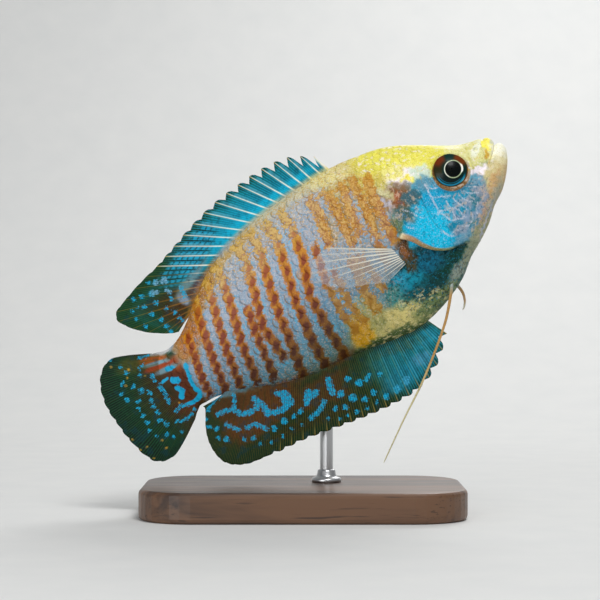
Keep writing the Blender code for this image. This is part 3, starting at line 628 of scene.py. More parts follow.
# Pale veins of the cheek and gill cover, then the fold behind the cheek that gets painted shade: points of
# the line, half its width
VEINS = (
    (((27.9, 4.3), (27.8, 3.4), (27.6, 2.2), (27.4, 0.4), (27.3, -0.5), (27.6, -1.9), (28.1, -3.4),
      (28.9, -3.7), (29.6, -4.0), (30.4, -4.3)), 0.13),
    (((27.6, 1.7), (28.3, 1.2), (29.1, 0.9), (29.7, 0.3), (30.4, 0.2)), 0.11),
    (((27.4, -0.8), (28.4, -1.5), (29.2, -1.6), (29.9, -2.0), (30.1, -2.6), (30.2, -3.5),
      (30.3, -4.0)), 0.12),
    (((29.3, 0.0), (29.2, -0.8), (29.2, -1.5)), 0.08),
    (((30.5, -0.4), (30.5, -1.0), (30.7, -1.7), (31.0, -2.3), (31.2, -2.9), (31.3, -3.5)), 0.10),
    (((31.6, -0.6), (31.7, -1.2), (32.0, -1.8), (32.3, -2.4), (32.9, -2.8)), 0.10),
    (((32.3, -0.1), (32.7, -0.5), (33.0, -1.2), (33.6, -1.6), (34.5, -2.1)), 0.10),
    (((33.0, -1.6), (33.1, -2.3), (33.4, -2.9)), 0.08),
    (((29.3, -2.1), (29.0, -2.6), (29.0, -3.2), (29.3, -3.8)), 0.09),
    (((33.3, 0.0), (34.1, -0.6), (34.9, -1.2)), 0.09),
    (((22.4, 2.8), (22.9, 2.2), (23.3, 1.6), (23.6, 0.9), (24.0, 0.3), (24.4, -0.3), (25.1, -0.6)), 0.10),
    (((23.9, 1.4), (24.2, 1.0), (24.6, 0.6)), 0.08),
    (((25.9, -0.4), (26.5, -0.8), (26.8, -1.3)), 0.08),
    (((21.3, 0.0), (21.7, -0.4), (22.2, -0.9)), 0.12),
    (((25.8, -3.6), (26.0, -4.5), (26.3, -5.2), (26.9, -5.7)), 0.13),
    (((26.9, -5.2), (27.7, -5.0), (28.4, -5.4)), 0.11),
    (((28.1, 3.3), (28.7, 2.7), (29.3, 2.5)), 0.12),
    (((27.2, -1.0), (27.4, -1.3)), 0.30),
    (((31.6, -4.6), (31.0, -5.4), (30.0, -5.8), (29.0, -5.2)), 0.10),
    (((33.5, -3.4), (32.6, -4.2), (32.3, -5.0)), 0.10),
)
# Painted shade along the fold behind the cheek: points of the line
SHADED_FOLD_LINE = ((26.2, 4.2), (26.0, 2.1), (25.8, 0.8), (25.5, -0.4), (25.5, -2.3), (25.7, -3.4))
# The root of the tail fin, where skin and fin meet: patches as above, then blue bands and spots
TAIL_PATCHES = (
    (-25.5, -0.5, 4.2, 4.6, 0, 0.6, (88, 42, 14)),
    (-29.5, 0.5, 3.4, 4.8, 0, 0.9, (44, 42, 16)),
    (-23.0, -2.6, 1.2, 2.4, 0, 0.7, (84, 52, 20)),
    (-23.2, 3.6, 1.6, 1.4, 0, 0.7, (140, 66, 18)),
    (-26.6, 6.3, 2.8, 0.7, -22, 0.6, (176, 88, 20)),
    (-26.2, 4.7, 2.8, 0.7, -14, 0.6, (160, 62, 18)),
    (-25.4, 3.6, 2.4, 0.5, -10, 0.7, (110, 140, 150)),
    (-26.5, 5.5, 2.6, 0.35, -18, 0.7, (120, 160, 176)),
    (-24.4, 6.6, 2.4, 0.6, -20, 0.8, (190, 190, 190)),
    (-31.0, 8.0, 3.0, 1.4, -30, 0.9, (70, 74, 24)),
)
TAIL_BLUE = (
    (((-22.4, 2.4), (-22.7, 1.2), (-23.1, 0.0), (-23.3, -1.5), (-23.0, -3.0)), 0.38),
    (((-23.2, -3.3), (-24.7, -3.5), (-26.2, -3.2), (-27.0, -2.8), (-28.2, -3.0)), 0.36),
    (((-28.3, -1.2), (-28.0, 0.6), (-28.1, 1.9)), 0.36), (((-27.8, 2.2), (-26.2, 2.3)), 0.26),
    (((-28.2, 3.2), (-28.0, 4.2)), 0.34), (((-25.5, 1.5), (-25.0, 1.1)), 0.60),
    (((-25.7, 0.0), (-25.3, -0.9), (-26.0, -1.6)), 0.50), (((-24.4, 3.3), (-25.4, 3.6)), 0.38),
    (((-29.0, -4.5), (-28.3, -5.0), (-27.2, -5.1), (-26.2, -5.0)), 0.30), (((-25.4, -4.6),), 0.34),
)


def linear(colours):
    """Screen colours of 0 to 255 as linear ones."""
    share = np.clip(colours, 0, 255) / 255
    return np.where(share > 0.04045, ((share + 0.055) / 1.055) ** 2.4, share / 12.92)


def by_height(z, heights, colours):
    """A colour for each height, run straight from one stop to the next."""
    columns = np.array(colours, float).T
    return np.stack([np.interp(z, heights, column) for column in columns], axis=-1)


def lay(under, over, share):
    return under + (np.asarray(over, float) - under) * np.asarray(share)[..., None]


def patch_share(x, z, middle_x, middle_z, half_long, half_high, tilt, softness):
    """1 inside a tilted oval and 0 outside it, smooth over a share of its size."""
    cos, sin = math.cos(math.radians(tilt)), math.sin(math.radians(tilt))
    dx, dz = x - middle_x, z - middle_z
    reach = np.hypot((dx * cos + dz * sin) / half_long, (dz * cos - dx * sin) / half_high)
    return soft_step(1 - reach, softness)


def lay_patches(colour, x, z, patches, share=1.0):
    for *oval, over in patches:
        colour = lay(colour, over, share * patch_share(x, z, *oval))
    return colour


def pushed(x, z):
    """Places pushed about by a few crossed waves, which makes the edges of patches uneven."""
    along = np.sin(1.9 * x + 1.4 * np.sin(1.6 * z)) + 0.7 * np.sin(4.9 * z - 3.3 * x)
    up = np.sin(2.2 * z + 1.2 * np.sin(1.8 * x) + 2.0) + 0.7 * np.sin(5.3 * x + 3.1 * z)
    return x + 0.26 * along, z + 0.26 * up


def past_lip(x, z):
    """1 behind and below the free edge of the gill cover, 0 on the head."""
    lip_x, lip_z = np.array(((19.3, 9.0), *LIP_LINE, (31.0, -9.4))).T
    low = np.interp(x, lip_x, lip_z)
    return soft_step(low - z, 0.35)


def painted(x, z, strokes):
    """How far inside the nearest painted spot or band each place is, in millimetres."""
    field = np.full(x.shape, -9.0)
    for line, half in strokes:
        field = np.maximum(field, half - from_line(x, z, line)[0])
    return field


def bar_fields(x, z):
    """How far inside the nearest bar each place is, in millimetres and below 0 outside them all,
    and how deep in a bead: beads are leaning ovals down each bar, one to each row of scales."""
    bar, bead = np.full(x.shape, -9.0), np.full(x.shape, -9.0)
    pitch = np.interp(x, BEAD_PLACES, BEAD_PITCH)
    up = ((z - 0.6) / pitch + 0.5) % 1 - 0.5
    for places, low, high, half in BARS:
        off = x - np.interp(z, BAR_HEIGHTS, places)
        ends = np.minimum(z - low, high - z) * 0.6
        lean = 0.62 - 0.05 * np.clip(z, 0, 12)
        leaf = half * (1.34 - 1.15 * lean * np.abs(up)) - np.abs(off - 0.7 * lean * up)
        bar = np.maximum(bar, np.minimum(leaf, ends))
        round_up = np.hypot((off - 0.6 * up) / 0.66, up * pitch / 1.02)
        bead = np.maximum(bead, np.minimum(1 - round_up, ends + 0.2))
    faint = np.maximum(soft_step(x - 9.0, 4.0) * soft_step(z - 1.0, 4.0), soft_step(z - 10.5, 3.0))
    bead = bead - 0.9 * faint
    return bar, bead


def ground_colours(x, z):
    """The trunk's and head's ground, then past the stalk's end the tail fin's own."""
    px, pz = pushed(x, z)
    ground = lay_patches(by_height(z, GROUND_HEIGHTS, GROUND_COLOURS), px, pz, PATCHES)
    ground = lay_patches(ground, px, pz, BREAST_PATCHES, past_lip(x, z))
    ground = lay_patches(ground, px, pz, THROAT_PATCHES)
    return lay(ground, tail_colours(x, z), soft_step(-22.9 - x, 1.0))


def tail_colours(x, z):
    colour = np.broadcast_to(np.array((0.0, 50.0, 28.0)), x.shape + (3,))
    return lay_patches(colour, x, z, TAIL_PATCHES)


def skin_fields(points):
    """The markings, and the painted shade along the cheek's fold, at places on the flank, alike for the skin
    and for the scales over it.
    """
    x, z = as_seen(points[:, 0], points[:, 1], points[:, 2])
    bars = by_height(z, BAR_TINT_HEIGHTS, BAR_TINTS)
    bars = lay(bars, (186, 126, 32), 0.75 * soft_step(x - 8.0, 5.0))
    bars = lay(bars, (176, 132, 40), soft_step(x - 3.0, 4.0) * soft_step(-1.0 - z, 3.0))
    beads = by_height(z, BAR_TINT_HEIGHTS, BEAD_TINTS)
    bar, bead = bar_fields(x, z)
    return {
        "ground": linear(ground_colours(x, z)),
        "bar_colour": linear(bars),
        "bead_colour": linear(lay(lay(beads, (164, 92, 12), soft_step(x - 7.0, 4.0)), (160, 108, 22),
                                  soft_step(x - 3.0, 3.0) * soft_step(0.0 - z, 3.0))),
        "bar": bar,
        "bead": bead,
        "vein": painted(x, z, VEINS),
        # Painted shade: how near each place is to the cheek's fold
        "crease_shade": 0.10 - from_line(x, z, SHADED_FOLD_LINE)[0],
        "blue": painted(x, z, TAIL_BLUE),
        "net": patch_share(x, z, -10.0, -3.0, 15.0, 9.0, 14, 0.8),
        "cheek": patch_share(x, z, 27.8, -1.2, 8.4, 6.6, 0, 0.3) * soft_step(x - 20.6, 1.4),
        "head": (patch_share(x, z, 33.0, -3.6, 5.6, 5.2, 0, 0.4)
                 + patch_share(x, z, 23.0, 3.8, 3.4, 3.4, 0, 0.5)),
        "brow": patch_share(x, z, 29.0, 9.6, 14.5, 5.2, -34, 0.5),
        "gleam": patch_share(x, z, -3.0, 1.0, 23.0, 12.0, 12, 0.4) * soft_step(x + 21.5, 2.0),
        "tail": soft_step(-22.6 - x, 1.2),
        "dust": np.maximum.reduce([patch_share(x, z, 3.0, 12.8, 18.0, 3.6, 9, 0.6),
                                   0.85 * patch_share(x, z, 14.0, 6.5, 7.0, 7.6, -5, 0.6),
                                   0.6 * patch_share(x, z, 9.6, -4.6, 6.0, 5.6, -8, 0.6)]),
        "belly": patch_share(x, z, 12.5, -12.4, 8.5, 3.0, -4, 0.5),
        "breast": patch_share(x, z, 20.0, -9.0, 8.0, 5.2, -8, 0.5) * past_lip(x, z),
    }


def fish_finish(name):
    """Wet skin: the ground colour, bars with grainy edges and rust beads down them, pink and cyan
    glints between, an amber net at the scales' rims, pale veins on the gill cover, white and gold
    mottling on the brow, and blue grains on the breast."""
    skin = Finish(name, Coat_Weight=0.08, Coat_Roughness=0.22, Specular_IOR_Level=0.15)
    grain = skin.noise(0.55, 3.0, roughness=0.65)
    speck = skin.noise(0.22, 2.0, roughness=0.6)
    broad = skin.noise(2.2, 2.0)
    hue = skin.noise(0.36, 2.0, skin.shift(skin.object_place(), (0.1, 0.2, 0.3)))
    colour = skin.attribute("ground", "Color")
    fine = skin.noise(0.30, 3.0, skin.shift(skin.object_place(), (0.3, 0.1, 0.2)), 0.7)
    mottle = skin.noise(0.95, 3.0, roughness=0.7)
    head, tail, dust = skin.attribute("head"), skin.attribute("tail"), skin.attribute("dust")
    breast, belly = skin.attribute("breast"), skin.attribute("belly")
    sparkle = skin.ease(speck, 0.54, 0.74) * (0.24 - head * 0.14)
    colour = skin.mix(colour, (1.0, 1.0, 1.0), sparkle * (1 - tail) * (1 - breast))
    colour = skin.mix(colour, (0.0, 0.0, 0.0), skin.ease(speck, 0.48, 0.26) * 0.30)
    colour = skin.mix(colour, tint(210, 184, 158), head * skin.ease(mottle, 0.51, 0.62) * 0.55)
    colour = skin.mix(colour, tint(54, 92, 90), head * skin.ease(grain, 0.45, 0.34) * 0.50)
    colour = skin.mix(colour, tint(196, 150, 40), dust * skin.ease(fine, 0.50, 0.60) * 0.75)
    colour = skin.mix(colour, tint(214, 214, 200), dust * skin.ease(hue, 0.54, 0.66) * 0.5)
    gleam = skin.attribute("gleam")
    colour = skin.mix(colour, tint(208, 190, 184), gleam * skin.ease(hue, 0.53, 0.64) * 0.42)
    colour = skin.mix(colour, tint(70, 152, 196), gleam * skin.ease(hue, 0.47, 0.36) * 0.42)
    brow = skin.attribute("brow")
    colour = skin.mix(colour, tint(248, 240, 240), brow * skin.ease(mottle, 0.54, 0.66) * 0.62)
    colour = skin.mix(colour, tint(212, 182, 34), brow * skin.ease(grain, 0.45, 0.32) * 0.60)
    colour = skin.mix(colour, tint(170, 130, 20), brow * skin.ease(hue, 0.36, 0.26) * 0.5)
    cheek = skin.attribute("cheek")
    colour = skin.mix(colour, tint(0, 112, 150), cheek * skin.ease(grain, 0.50, 0.34) * 0.55)
    colour = skin.mix(colour, tint(150, 178, 205), cheek * skin.ease(hue, 0.58, 0.70) * 0.35)
    # Painted shade: dark teal along the cheek's fold
    crease_shade = skin.ease(skin.attribute("crease_shade") + (grain - 0.5) * 0.12, -0.08, 0.06)
    colour = skin.mix(colour, tint(0, 96, 118), crease_shade * 0.5)
    vein = skin.ease(skin.attribute("vein") + (grain - 0.5) * 0.30, -0.09, 0.05)
    colour = skin.mix(colour, tint(200, 204, 216), vein * skin.ease(fine, 0.36, 0.56) * 0.75)
    colour = skin.mix(colour, tint(232, 218, 156), belly * skin.ease(mottle, 0.52, 0.62) * 0.6)
    colour = skin.mix(colour, tint(74, 98, 48), belly * skin.ease(grain, 0.47, 0.34) * 0.6)
    colour = skin.mix(colour, tint(0, 34, 30), breast * skin.ease(grain, 0.52, 0.38) * 0.7)
    colour = skin.mix(colour, tint(0, 132, 168), breast * skin.ease(fine, 0.54, 0.66) * 0.7)
    bar = skin.attribute("bar") + (grain - 0.5) * (1.0 + dust * 1.5)
    bar = bar + (fine - 0.5) * (0.75 + dust * 1.1)
    bar = bar + (mottle - 0.52) * dust * 3.2
    sliver = skin.ease(bar, -0.44, -0.28) * skin.ease(bar, -0.04, -0.16) * gleam
    colour = skin.mix(colour, tint(70, 186, 228), sliver * skin.ease(broad, 0.52, 0.62) * 0.45)
    net = skin.attribute("edge") * skin.attribute("net")
    colour = skin.mix(colour, tint(150, 118, 52),
                      skin.ease(net, 0.35, 0.8) * skin.ease(grain, 0.36, 0.52) * 0.55)
    amber = skin.mix(skin.attribute("bar_colour", "Color"), tint(140, 72, 4),
                     skin.ease(fine, 0.50, 0.36) * 0.55)
    amber = skin.mix(amber, tint(224, 176, 60), skin.ease(fine, 0.56, 0.70) * (0.35 + dust * 0.4))
    amber = skin.mix(amber, tint(146, 62, 4), dust * skin.ease(mottle, 0.50, 0.38) * 0.6)
    amber = skin.mix(amber, tint(222, 186, 104), dust * skin.ease(mottle, 0.53, 0.62) * 0.55)
    amber = skin.mix(amber, tint(212, 182, 122),
                     dust * skin.ease(bar, 0.30, 0.70) * skin.ease(fine, 0.42, 0.58) * 0.6)
    amber = skin.mix(amber, tint(142, 78, 10), dust * skin.ease(bar, 0.34, 0.05) * 0.5)
    bead = skin.ease(skin.attribute("bead") + (grain - 0.5) * 1.1, -0.20, 0.44)
    amber = skin.mix(amber, skin.attribute("bead_colour", "Color"), bead * 0.9)
    colour = skin.mix(colour, amber, skin.ease(bar, -0.20, 0.22) * (0.95 - dust * 0.12))
    blue = skin.ease(skin.attribute("blue") + (grain - 0.5) * 0.42, -0.07, 0.09)
    colour = skin.mix(colour, tint(4, 166, 212), blue * 0.96)
    rough = 0.40 + grain * 0.18
    height = speck * 0.4 + grain * 0.6
    return skin.feed(Base_Color=colour, Roughness=rough, Normal=skin.bump(height, 0.05, 0.5))


skin_finish = fish_finish("wet_skin")
grid = skin_grid()
rows = len(grid)
skin_faces = grid_faces(rows, ROUND_STEPS, True).tolist()
skin_faces.append(list(range(ROUND_STEPS)))
skin_faces.append([(rows - 1) * ROUND_STEPS + k for k in range(ROUND_STEPS)][::-1])
flat = grid.reshape(-1, 3)
new_piece("skin", flat, skin_faces, skin_finish, ("head", "trunk", "tail_stalk"),
          skin_fields(flat))

# THE RIMS ROUND THE EYES
# Each eye sits in a ring of bare skin, raised and rounded, which rolls in over the ball's edge.
# It is cast with the skin: its outer edge dips under the cheek, so that no joint shows.
RIM_RADII = (2.58, 2.70, 2.80, 2.88, 2.95, 3.03, 3.12, 3.22, 3.33, 3.44, 3.55, 3.66, 3.77, 3.88)
RIM_TURNS, RIM_THICK, RIM_ROLL, RIM_DIP = 128, 0.25, 0.9, 0.16
RIM_X, RIM_Z, RIM_OUTER = 32.76, 3.34, 3.26   # as the lens sees it
# The rim's own brown, and the beige of a painted highlight on its right side
RIM_BROWN, RIM_HIGHLIGHT_BEIGE = (116, 82, 36), (170, 152, 130)
SIDES = ((-1, "right"), (1, "left"))
LAY_TURNS, LAY_MIDDLE, LAY_TOP, LAY_BOTTOM = 205, 102, 42, 162


def on_flank(x, z, surface):
    """The right flank at places in side view: the nearest point of the surface, moved on to the
    place along the plane that touches it there, with its outward normal."""
    points, normals = surface.reshape(-1, 3), grid_normals(surface).reshape(-1, 3)
    keep = points[:, 1] <= 0.01
    points, normals = points[keep], normals[keep]
    flat_x, flat_z = np.ravel(x), np.ravel(z)
    gap = (flat_x[:, None] - points[None, :, 0]) ** 2 + (flat_z[:, None] - points[None, :, 2]) ** 2
    near = np.argmin(gap, axis=1)
    base, normal = points[near], normals[near]
    out_y = np.minimum(normal[:, 1], -0.25)
    slope = normal[:, 0] * (flat_x - base[:, 0]) + normal[:, 2] * (flat_z - base[:, 2])
    made = np.stack([flat_x, base[:, 1] - slope / out_y, flat_z], axis=-1)
    return made.reshape(*np.shape(x), 3), normal.reshape(*np.shape(x), 3)


def slab(right, left, around=False):
    """A closed plate between two grids, with a wall round every open edge."""
    rows, columns = right.shape[:2]
    count = rows * columns
    face = grid_faces(rows, columns, around)
    index = np.arange(count).reshape(rows, columns)
    if around:
        rims = [np.append(index[0], index[0, 0])[::-1], np.append(index[-1], index[-1, 0])]
    else:
        rims = [np.concatenate([index[:, 0], index[-1, 1:], index[-2::-1, -1], index[0, -2::-1]])]
    walls = [np.stack([rim[:-1], rim[:-1] + count, rim[1:] + count, rim[1:]], 1) for rim in rims]
    points = np.concatenate([right.reshape(-1, 3), left.reshape(-1, 3)])
    return points, np.vstack([face, face[:, ::-1] + count] + walls)


def mirrored(points, side):
    """Points of the right side (-1), or the same turned over to the left one (1)."""
    return points * (1, -side, 1)


def around_share(angle, middle, half, softness=26.0):
    """1 within this many degrees of a direction and 0 away from it, smooth between."""
    off = np.abs((np.degrees(angle) - middle + 180) % 360 - 180)
    return soft_step(half - off, softness)


half_turn = np.linspace(0, math.pi, 97)
_, near_surface = body_surface(half_turn, (8, 4))
radius, angle = np.meshgrid(RIM_RADII, np.linspace(0, 2 * np.pi, RIM_TURNS, endpoint=False),
                            indexing="ij")
squat = 1 - 0.025 * (1 + np.cos(2 * (angle - math.radians(55))))
squat -= 0.10 * (radius - 2.58) * around_share(angle, 55, 40)
rim, _ = on_flank(EYE_X + radius * squat * np.cos(angle), EYE_Z + radius * squat * np.sin(angle),
                  near_surface)
rim = flatten_orbit(rim)
rim[..., 1] += RIM_ROLL * (np.clip(3.05 - radius, 0, 1) / 0.47) ** 2
rim[..., 1] += RIM_DIP * soft_step(radius - 3.66, 0.5) - 0.02
under = rim + (0, RIM_THICK, 0)
points, faces = slab(rim, under, True)
fields = skin_fields(points)
seen_x, seen_z = as_seen(points[:, 0], points[:, 1], points[:, 2])
reach, angle = np.hypot(seen_x - RIM_X, seen_z - RIM_Z), np.arctan2(seen_z - RIM_Z, seen_x - RIM_X)
# The rim's brown, with a painted highlight in beige on its right side
ring = lay(np.broadcast_to(np.array(RIM_BROWN, float), (len(points), 3)), RIM_HIGHLIGHT_BEIGE,
           around_share(angle, -20, 34))
lower = 1 - around_share(angle, 62, 62, 40.0)
fields["ground"] = lay(fields["ground"], linear(ring), soft_step(RIM_OUTER - reach, 0.2) * lower)
fields["cheek"] = fields["cheek"] * soft_step(reach - RIM_OUTER, 0.2)
for side, word in SIDES:
    new_piece(f"eye_rim_{word}", mirrored(points, side), faces, skin_finish, (), fields)

# THE GILL COVERS' EDGES
# The bony cover ends in a soft, pale lip that lies over the shoulder, widest behind and fading out
# under the throat; near its upper end it carries a painted highlight. It is a band of skin with a
# round edge, and sinks into the head at both ends.
LIP_STEPS, LIP_WIDE, LIP_NARROW = 150, 0.95, 0.40
LIP_SECTION = ((1.30, -0.20), (1.05, -0.04), (0.80, 0.03), (0.55, 0.06), (0.34, 0.07),
               (0.16, 0.05), (0.02, -0.03), (-0.05, -0.15), (-0.02, -0.30), (0.14, -0.42),
               (0.60, -0.48))
LIP_STOPS = (0.0, 0.08, 0.16, 0.26, 0.45, 0.65, 1.0)
# The lip's own colours along it, with a painted highlight in the cream stop near its upper end
LIP_COLOURS_AND_HIGHLIGHT = ((130, 120, 84), (228, 212, 168), (196, 164, 122), (166, 128, 92), (150, 126, 84),
               (122, 118, 74), (96, 130, 96))

line = spread_rows(LIP_LINE, LIP_STEPS)
line = (line - (AXIS_X, AXIS_Z)) / 1.0165 + (AXIS_X, AXIS_Z)
along = np.gradient(line, axis=0)
forward = unit(np.stack([-along[:, 1], along[:, 0]], axis=1))
share = np.linspace(0, 1, len(line))
ends = soft_step(share - 0.05, 0.10) * soft_step(0.85 - share, 0.3)
wide = LIP_WIDE + (LIP_NARROW - LIP_WIDE) * soft_step(share - 0.45, 0.7)
section = np.array(LIP_SECTION)
place = line[:, None] + forward[:, None] * (section[None, :, :1] - 0.5) * wide[:, None, None]
lip, normal = on_flank(place[..., 0], place[..., 1], near_surface)
height = section[None, :, 1] * (0.3 + 0.7 * ends[:, None]) - 0.3 * (1 - ends[:, None])
lip = lip + normal * height[..., None]
under = lip - normal * 0.2
points, faces = slab(lip, under)
fields = skin_fields(points)
# The lip's colours, painted highlight included, laid over the skin's markings
pale = by_height(np.tile(np.repeat(share, len(section)), 2), LIP_STOPS, LIP_COLOURS_AND_HIGHLIGHT)
inward = np.tile(np.tile(section[:, 0], len(line)), 2)
fields["ground"] = lay(fields["ground"], linear(pale),
                       soft_step(1.0 - inward, 0.35) * np.tile(np.repeat(ends, len(section)), 2))
for key in ("cheek", "breast"):
    fields[key] = fields[key] * soft_step(inward - 0.9, 0.4)
fields["bar"] = np.full(len(points), -9.0)
for side, word in SIDES:
    new_piece(f"gill_lip_{word}", mirrored(points, side), faces, skin_finish, (), fields)

# THE SCALES
# Thin round-ended plates of horn in rows along the body, each rooted under the ones ahead of it
# and standing a little proud at its rear edge. They are smaller on the nape and towards the tail.
PITCH_PLACES = (-25.0, -15.0, 0.0, 16.0, 22.0, 31.0)
SCALE_PITCH = (1.15, 1.45, 1.58, 1.50, 1.10, 0.85)
ROW_PITCH = (1.35, 1.85, 2.35, 2.30, 1.60, 1.10)
SCALE_FIRST, SCALE_LAST = 31.0, -25.2
SCALE_LONG, SCALE_HIGH = 1.95, 1.46
SCALE_COLUMNS, SCALE_CROSS, SCALE_THICK = 8, 7, 0.03
ROOT_HEIGHT, FLAT_HEIGHT, EDGE_HEIGHT = -0.135, -0.10, -0.062
SNAP = 0.85
BAKE_PATCH = 0.003


def lay_out(surface):
    """The right side laid out flat: a row for each ring, a column for each 0.2 mm over the skin
    up from the widest line. Each place holds its point and its outward normal."""
    steps = np.linalg.norm(np.diff(surface, axis=1), axis=2)
    arc = np.hstack([np.zeros((len(surface), 1)), np.cumsum(steps, axis=1)])
    up = arc[:, [LAY_MIDDLE]] - arc
    levels = np.arange(-26.0, 26.01, 0.2)
    laid = np.array([[np.interp(levels, u[::-1], row[::-1, k]) for k in range(3)]
                     for u, row in zip(up, surface)]).transpose(0, 2, 1)
    normal = -grid_normals(laid)
    return np.concatenate([laid, normal], axis=2), levels, up


def on_map(laid, row, up):
    """Points and normals of the laid out side at fractional rows and heights, mixed from the
    four places round each."""
    row = np.clip(row, 0, laid.shape[0] - 1.001)
    column = np.clip((up + 26.0) / 0.2, 0, laid.shape[1] - 1.001)
    r, c = row.astype(int), column.astype(int)
    fr, fc = (row - r)[..., None], (column - c)[..., None]
    mixed = ((laid[r, c] * (1 - fc) + laid[r, c + 1] * fc) * (1 - fr)
             + (laid[r + 1, c] * (1 - fc) + laid[r + 1, c + 1] * fc) * fr)
    return mixed[..., :3], unit(mixed[..., 3:])


def scale_places(up_limits, row_of_x):
    """The middle of every scale of one side: rows a pitch apart up and down the side, scales a
    pitch apart along each, every other row half a pitch on."""
    x = np.linspace(SCALE_FIRST, SCALE_LAST, 600)
    pitch = np.interp(x, PITCH_PLACES, SCALE_PITCH)
    number = np.concatenate([[0], np.cumsum(-np.diff(x) / pitch[1:])])
    along, row = np.meshgrid(np.arange(0, int(number[-1]) + 1), np.arange(-14, 15))
    at = along + 0.5 * (row % 2)
    middle_x = np.interp(at, number, x)
    middle_up = row * np.interp(middle_x, PITCH_PLACES, ROW_PITCH)
    ring = row_of_x(middle_x)
    spare = 0.25 * np.interp(middle_x, PITCH_PLACES, ROW_PITCH)
    top = np.interp(ring, np.arange(len(up_limits)), up_limits[:, 0]) - spare
    bottom = np.interp(ring, np.arange(len(up_limits)), up_limits[:, 1]) + spare
    inside = (middle_up < top) & (middle_up > bottom) & (at <= number[-1])
    return middle_x[inside], middle_up[inside]


turn = np.linspace(-0.35 * math.pi, 1.35 * math.pi, LAY_TURNS)
plain, head = body_surface(turn, (8, 8))
plain_map, levels, up = lay_out(plain)
head_map, _, _ = lay_out(head)
ring_x = plain[:, LAY_MIDDLE, 0]
rings_back = np.arange(len(ring_x))


def row_of(x):
    """The fractional ring whose widest point is at this x."""
    return np.interp(x, ring_x[::-1], rings_back[::-1])


middle_x, middle_up = scale_places(up[:, [LAY_TOP, LAY_BOTTOM]], row_of)
middle, _ = on_map(plain_map, row_of(middle_x), middle_up)
ahead = ahead_of_edge(middle[:, 0], middle[:, 2])
from_eye = np.hypot(middle[:, 0] - EYE_X, middle[:, 2] - EYE_Z)
on_head = ahead > 0
keep = np.where(on_head, (from_eye > 4.6) & (middle[:, 2] > 7.0 + 0.25 * (middle[:, 0] - 22.0)), True)
middle_x, middle_up, on_head, middle = middle_x[keep], middle_up[keep], on_head[keep], middle[keep]

draw = np.random.default_rng(11)
count = len(middle_x)
pitch = np.interp(middle_x, PITCH_PLACES, SCALE_PITCH)
row_pitch = np.interp(middle_x, PITCH_PLACES, ROW_PITCH)
size = 1 + draw.uniform(-0.05, 0.05, count)
back, cross = np.meshgrid(np.linspace(0, 1, SCALE_COLUMNS), np.linspace(-1, 1, SCALE_CROSS),
                          indexing="ij")
long = SCALE_LONG * pitch * size
high = SCALE_HIGH * 0.5 * row_pitch * size
rear = 0.42 + 0.58 * np.sqrt(1 - 0.94 * cross ** 2)
broad = 0.72 + 0.28 * np.sin(np.pi * np.clip(back * 0.8 + 0.1, 0, 1))
shift = 0.5 - back * rear
scale_x = middle_x[:, None, None] + long[:, None, None] * shift
scale_up = middle_up[:, None, None] + high[:, None, None] * cross * broad
ring = row_of(scale_x)
on_plain, plain_normal = on_map(plain_map, ring, scale_up)
on_cover, cover_normal = on_map(head_map, ring, scale_up)
chosen = on_head[:, None, None, None]
base = np.where(chosen, on_cover, on_plain)
normal = np.where(chosen, cover_normal, plain_normal)
breast_share = patch_share(middle[:, 0], middle[:, 2], 20.0, -9.0, 8.0, 6.0, 0, 0.5)
lift = np.where(on_head, 0.05, 1 - 0.6 * breast_share)
lift *= 1 + draw.uniform(-0.15, 0.15, count)
most = FLAT_HEIGHT + (EDGE_HEIGHT - FLAT_HEIGHT) * lift[:, None, None]
height = ROOT_HEIGHT + (most - ROOT_HEIGHT) * (back * (1 - 0.22 * cross ** 2))[None]
top = base + normal * height[..., None]
bottom = base + normal * (height - SCALE_THICK)[..., None]
size_one = SCALE_COLUMNS * SCALE_CROSS
_, one_faces = slab(np.zeros((SCALE_COLUMNS, SCALE_CROSS, 3)), np.zeros((SCALE_COLUMNS, SCALE_CROSS, 3)))
points = np.concatenate([top.reshape(count, size_one, 3), bottom.reshape(count, size_one, 3)], axis=1)
faces = (one_faces[None] + (np.arange(count) * 2 * size_one)[:, None, None]).reshape(-1, 4)
seen = middle[:, None] + SNAP * (points - middle[:, None])
fields = skin_fields(seen.reshape(-1, 3))
shade = np.repeat(1 + draw.uniform(-0.07, 0.06, count), 2 * size_one)
edge = np.tile(np.concatenate([soft_step(back.ravel() - 0.90, 0.2)] * 2), count)
fields["ground"] = fields["ground"] * (shade * (1 - 0.06 * edge))[:, None]
fields["edge"] = edge
root_u = np.interp(row_of(middle_x), [0, len(ring_x) - 1], [0.02, 0.98])
root_v = np.interp(middle_up, [-26.0, 26.0], [0.02, 0.98])
local = np.stack([back - 0.5, cross * 0.5], axis=2).reshape(1, size_one, 2) * BAKE_PATCH
bake_places = np.stack([root_u, root_v], axis=1)[:, None] + np.concatenate([local, local], axis=1)
for side, word in SIDES:
    new_piece(f"scales_{word}", mirrored(points.reshape(-1, 3), side), faces, skin_finish,
              (), fields, bake_places.reshape(-1, 2))

# THE EYES
# Painted glass eyes: a flattened ball with a black pupil in a thin white ring, a dark iris with
# rust-red upper quarters and blue arcs under it, and a clear, bulging front. A painted highlight
# lies on the ring's lower right, and a painted glint near the iris's lower edge.
EYE_HALF_WIDTH, EYE_HALF_DEPTH, EYE_SUNK, EYE_BULGE = 3.45, 1.8, 1.0, 0.18
PUPIL_X, PUPIL_Z, IRIS_X, IRIS_Z = 33.29, 3.56, 32.80, 3.67   # as the lens sees them
PUPIL_RADIUS, RING_RADIUS, IRIS_RADIUS = 1.36, 1.60, 2.80


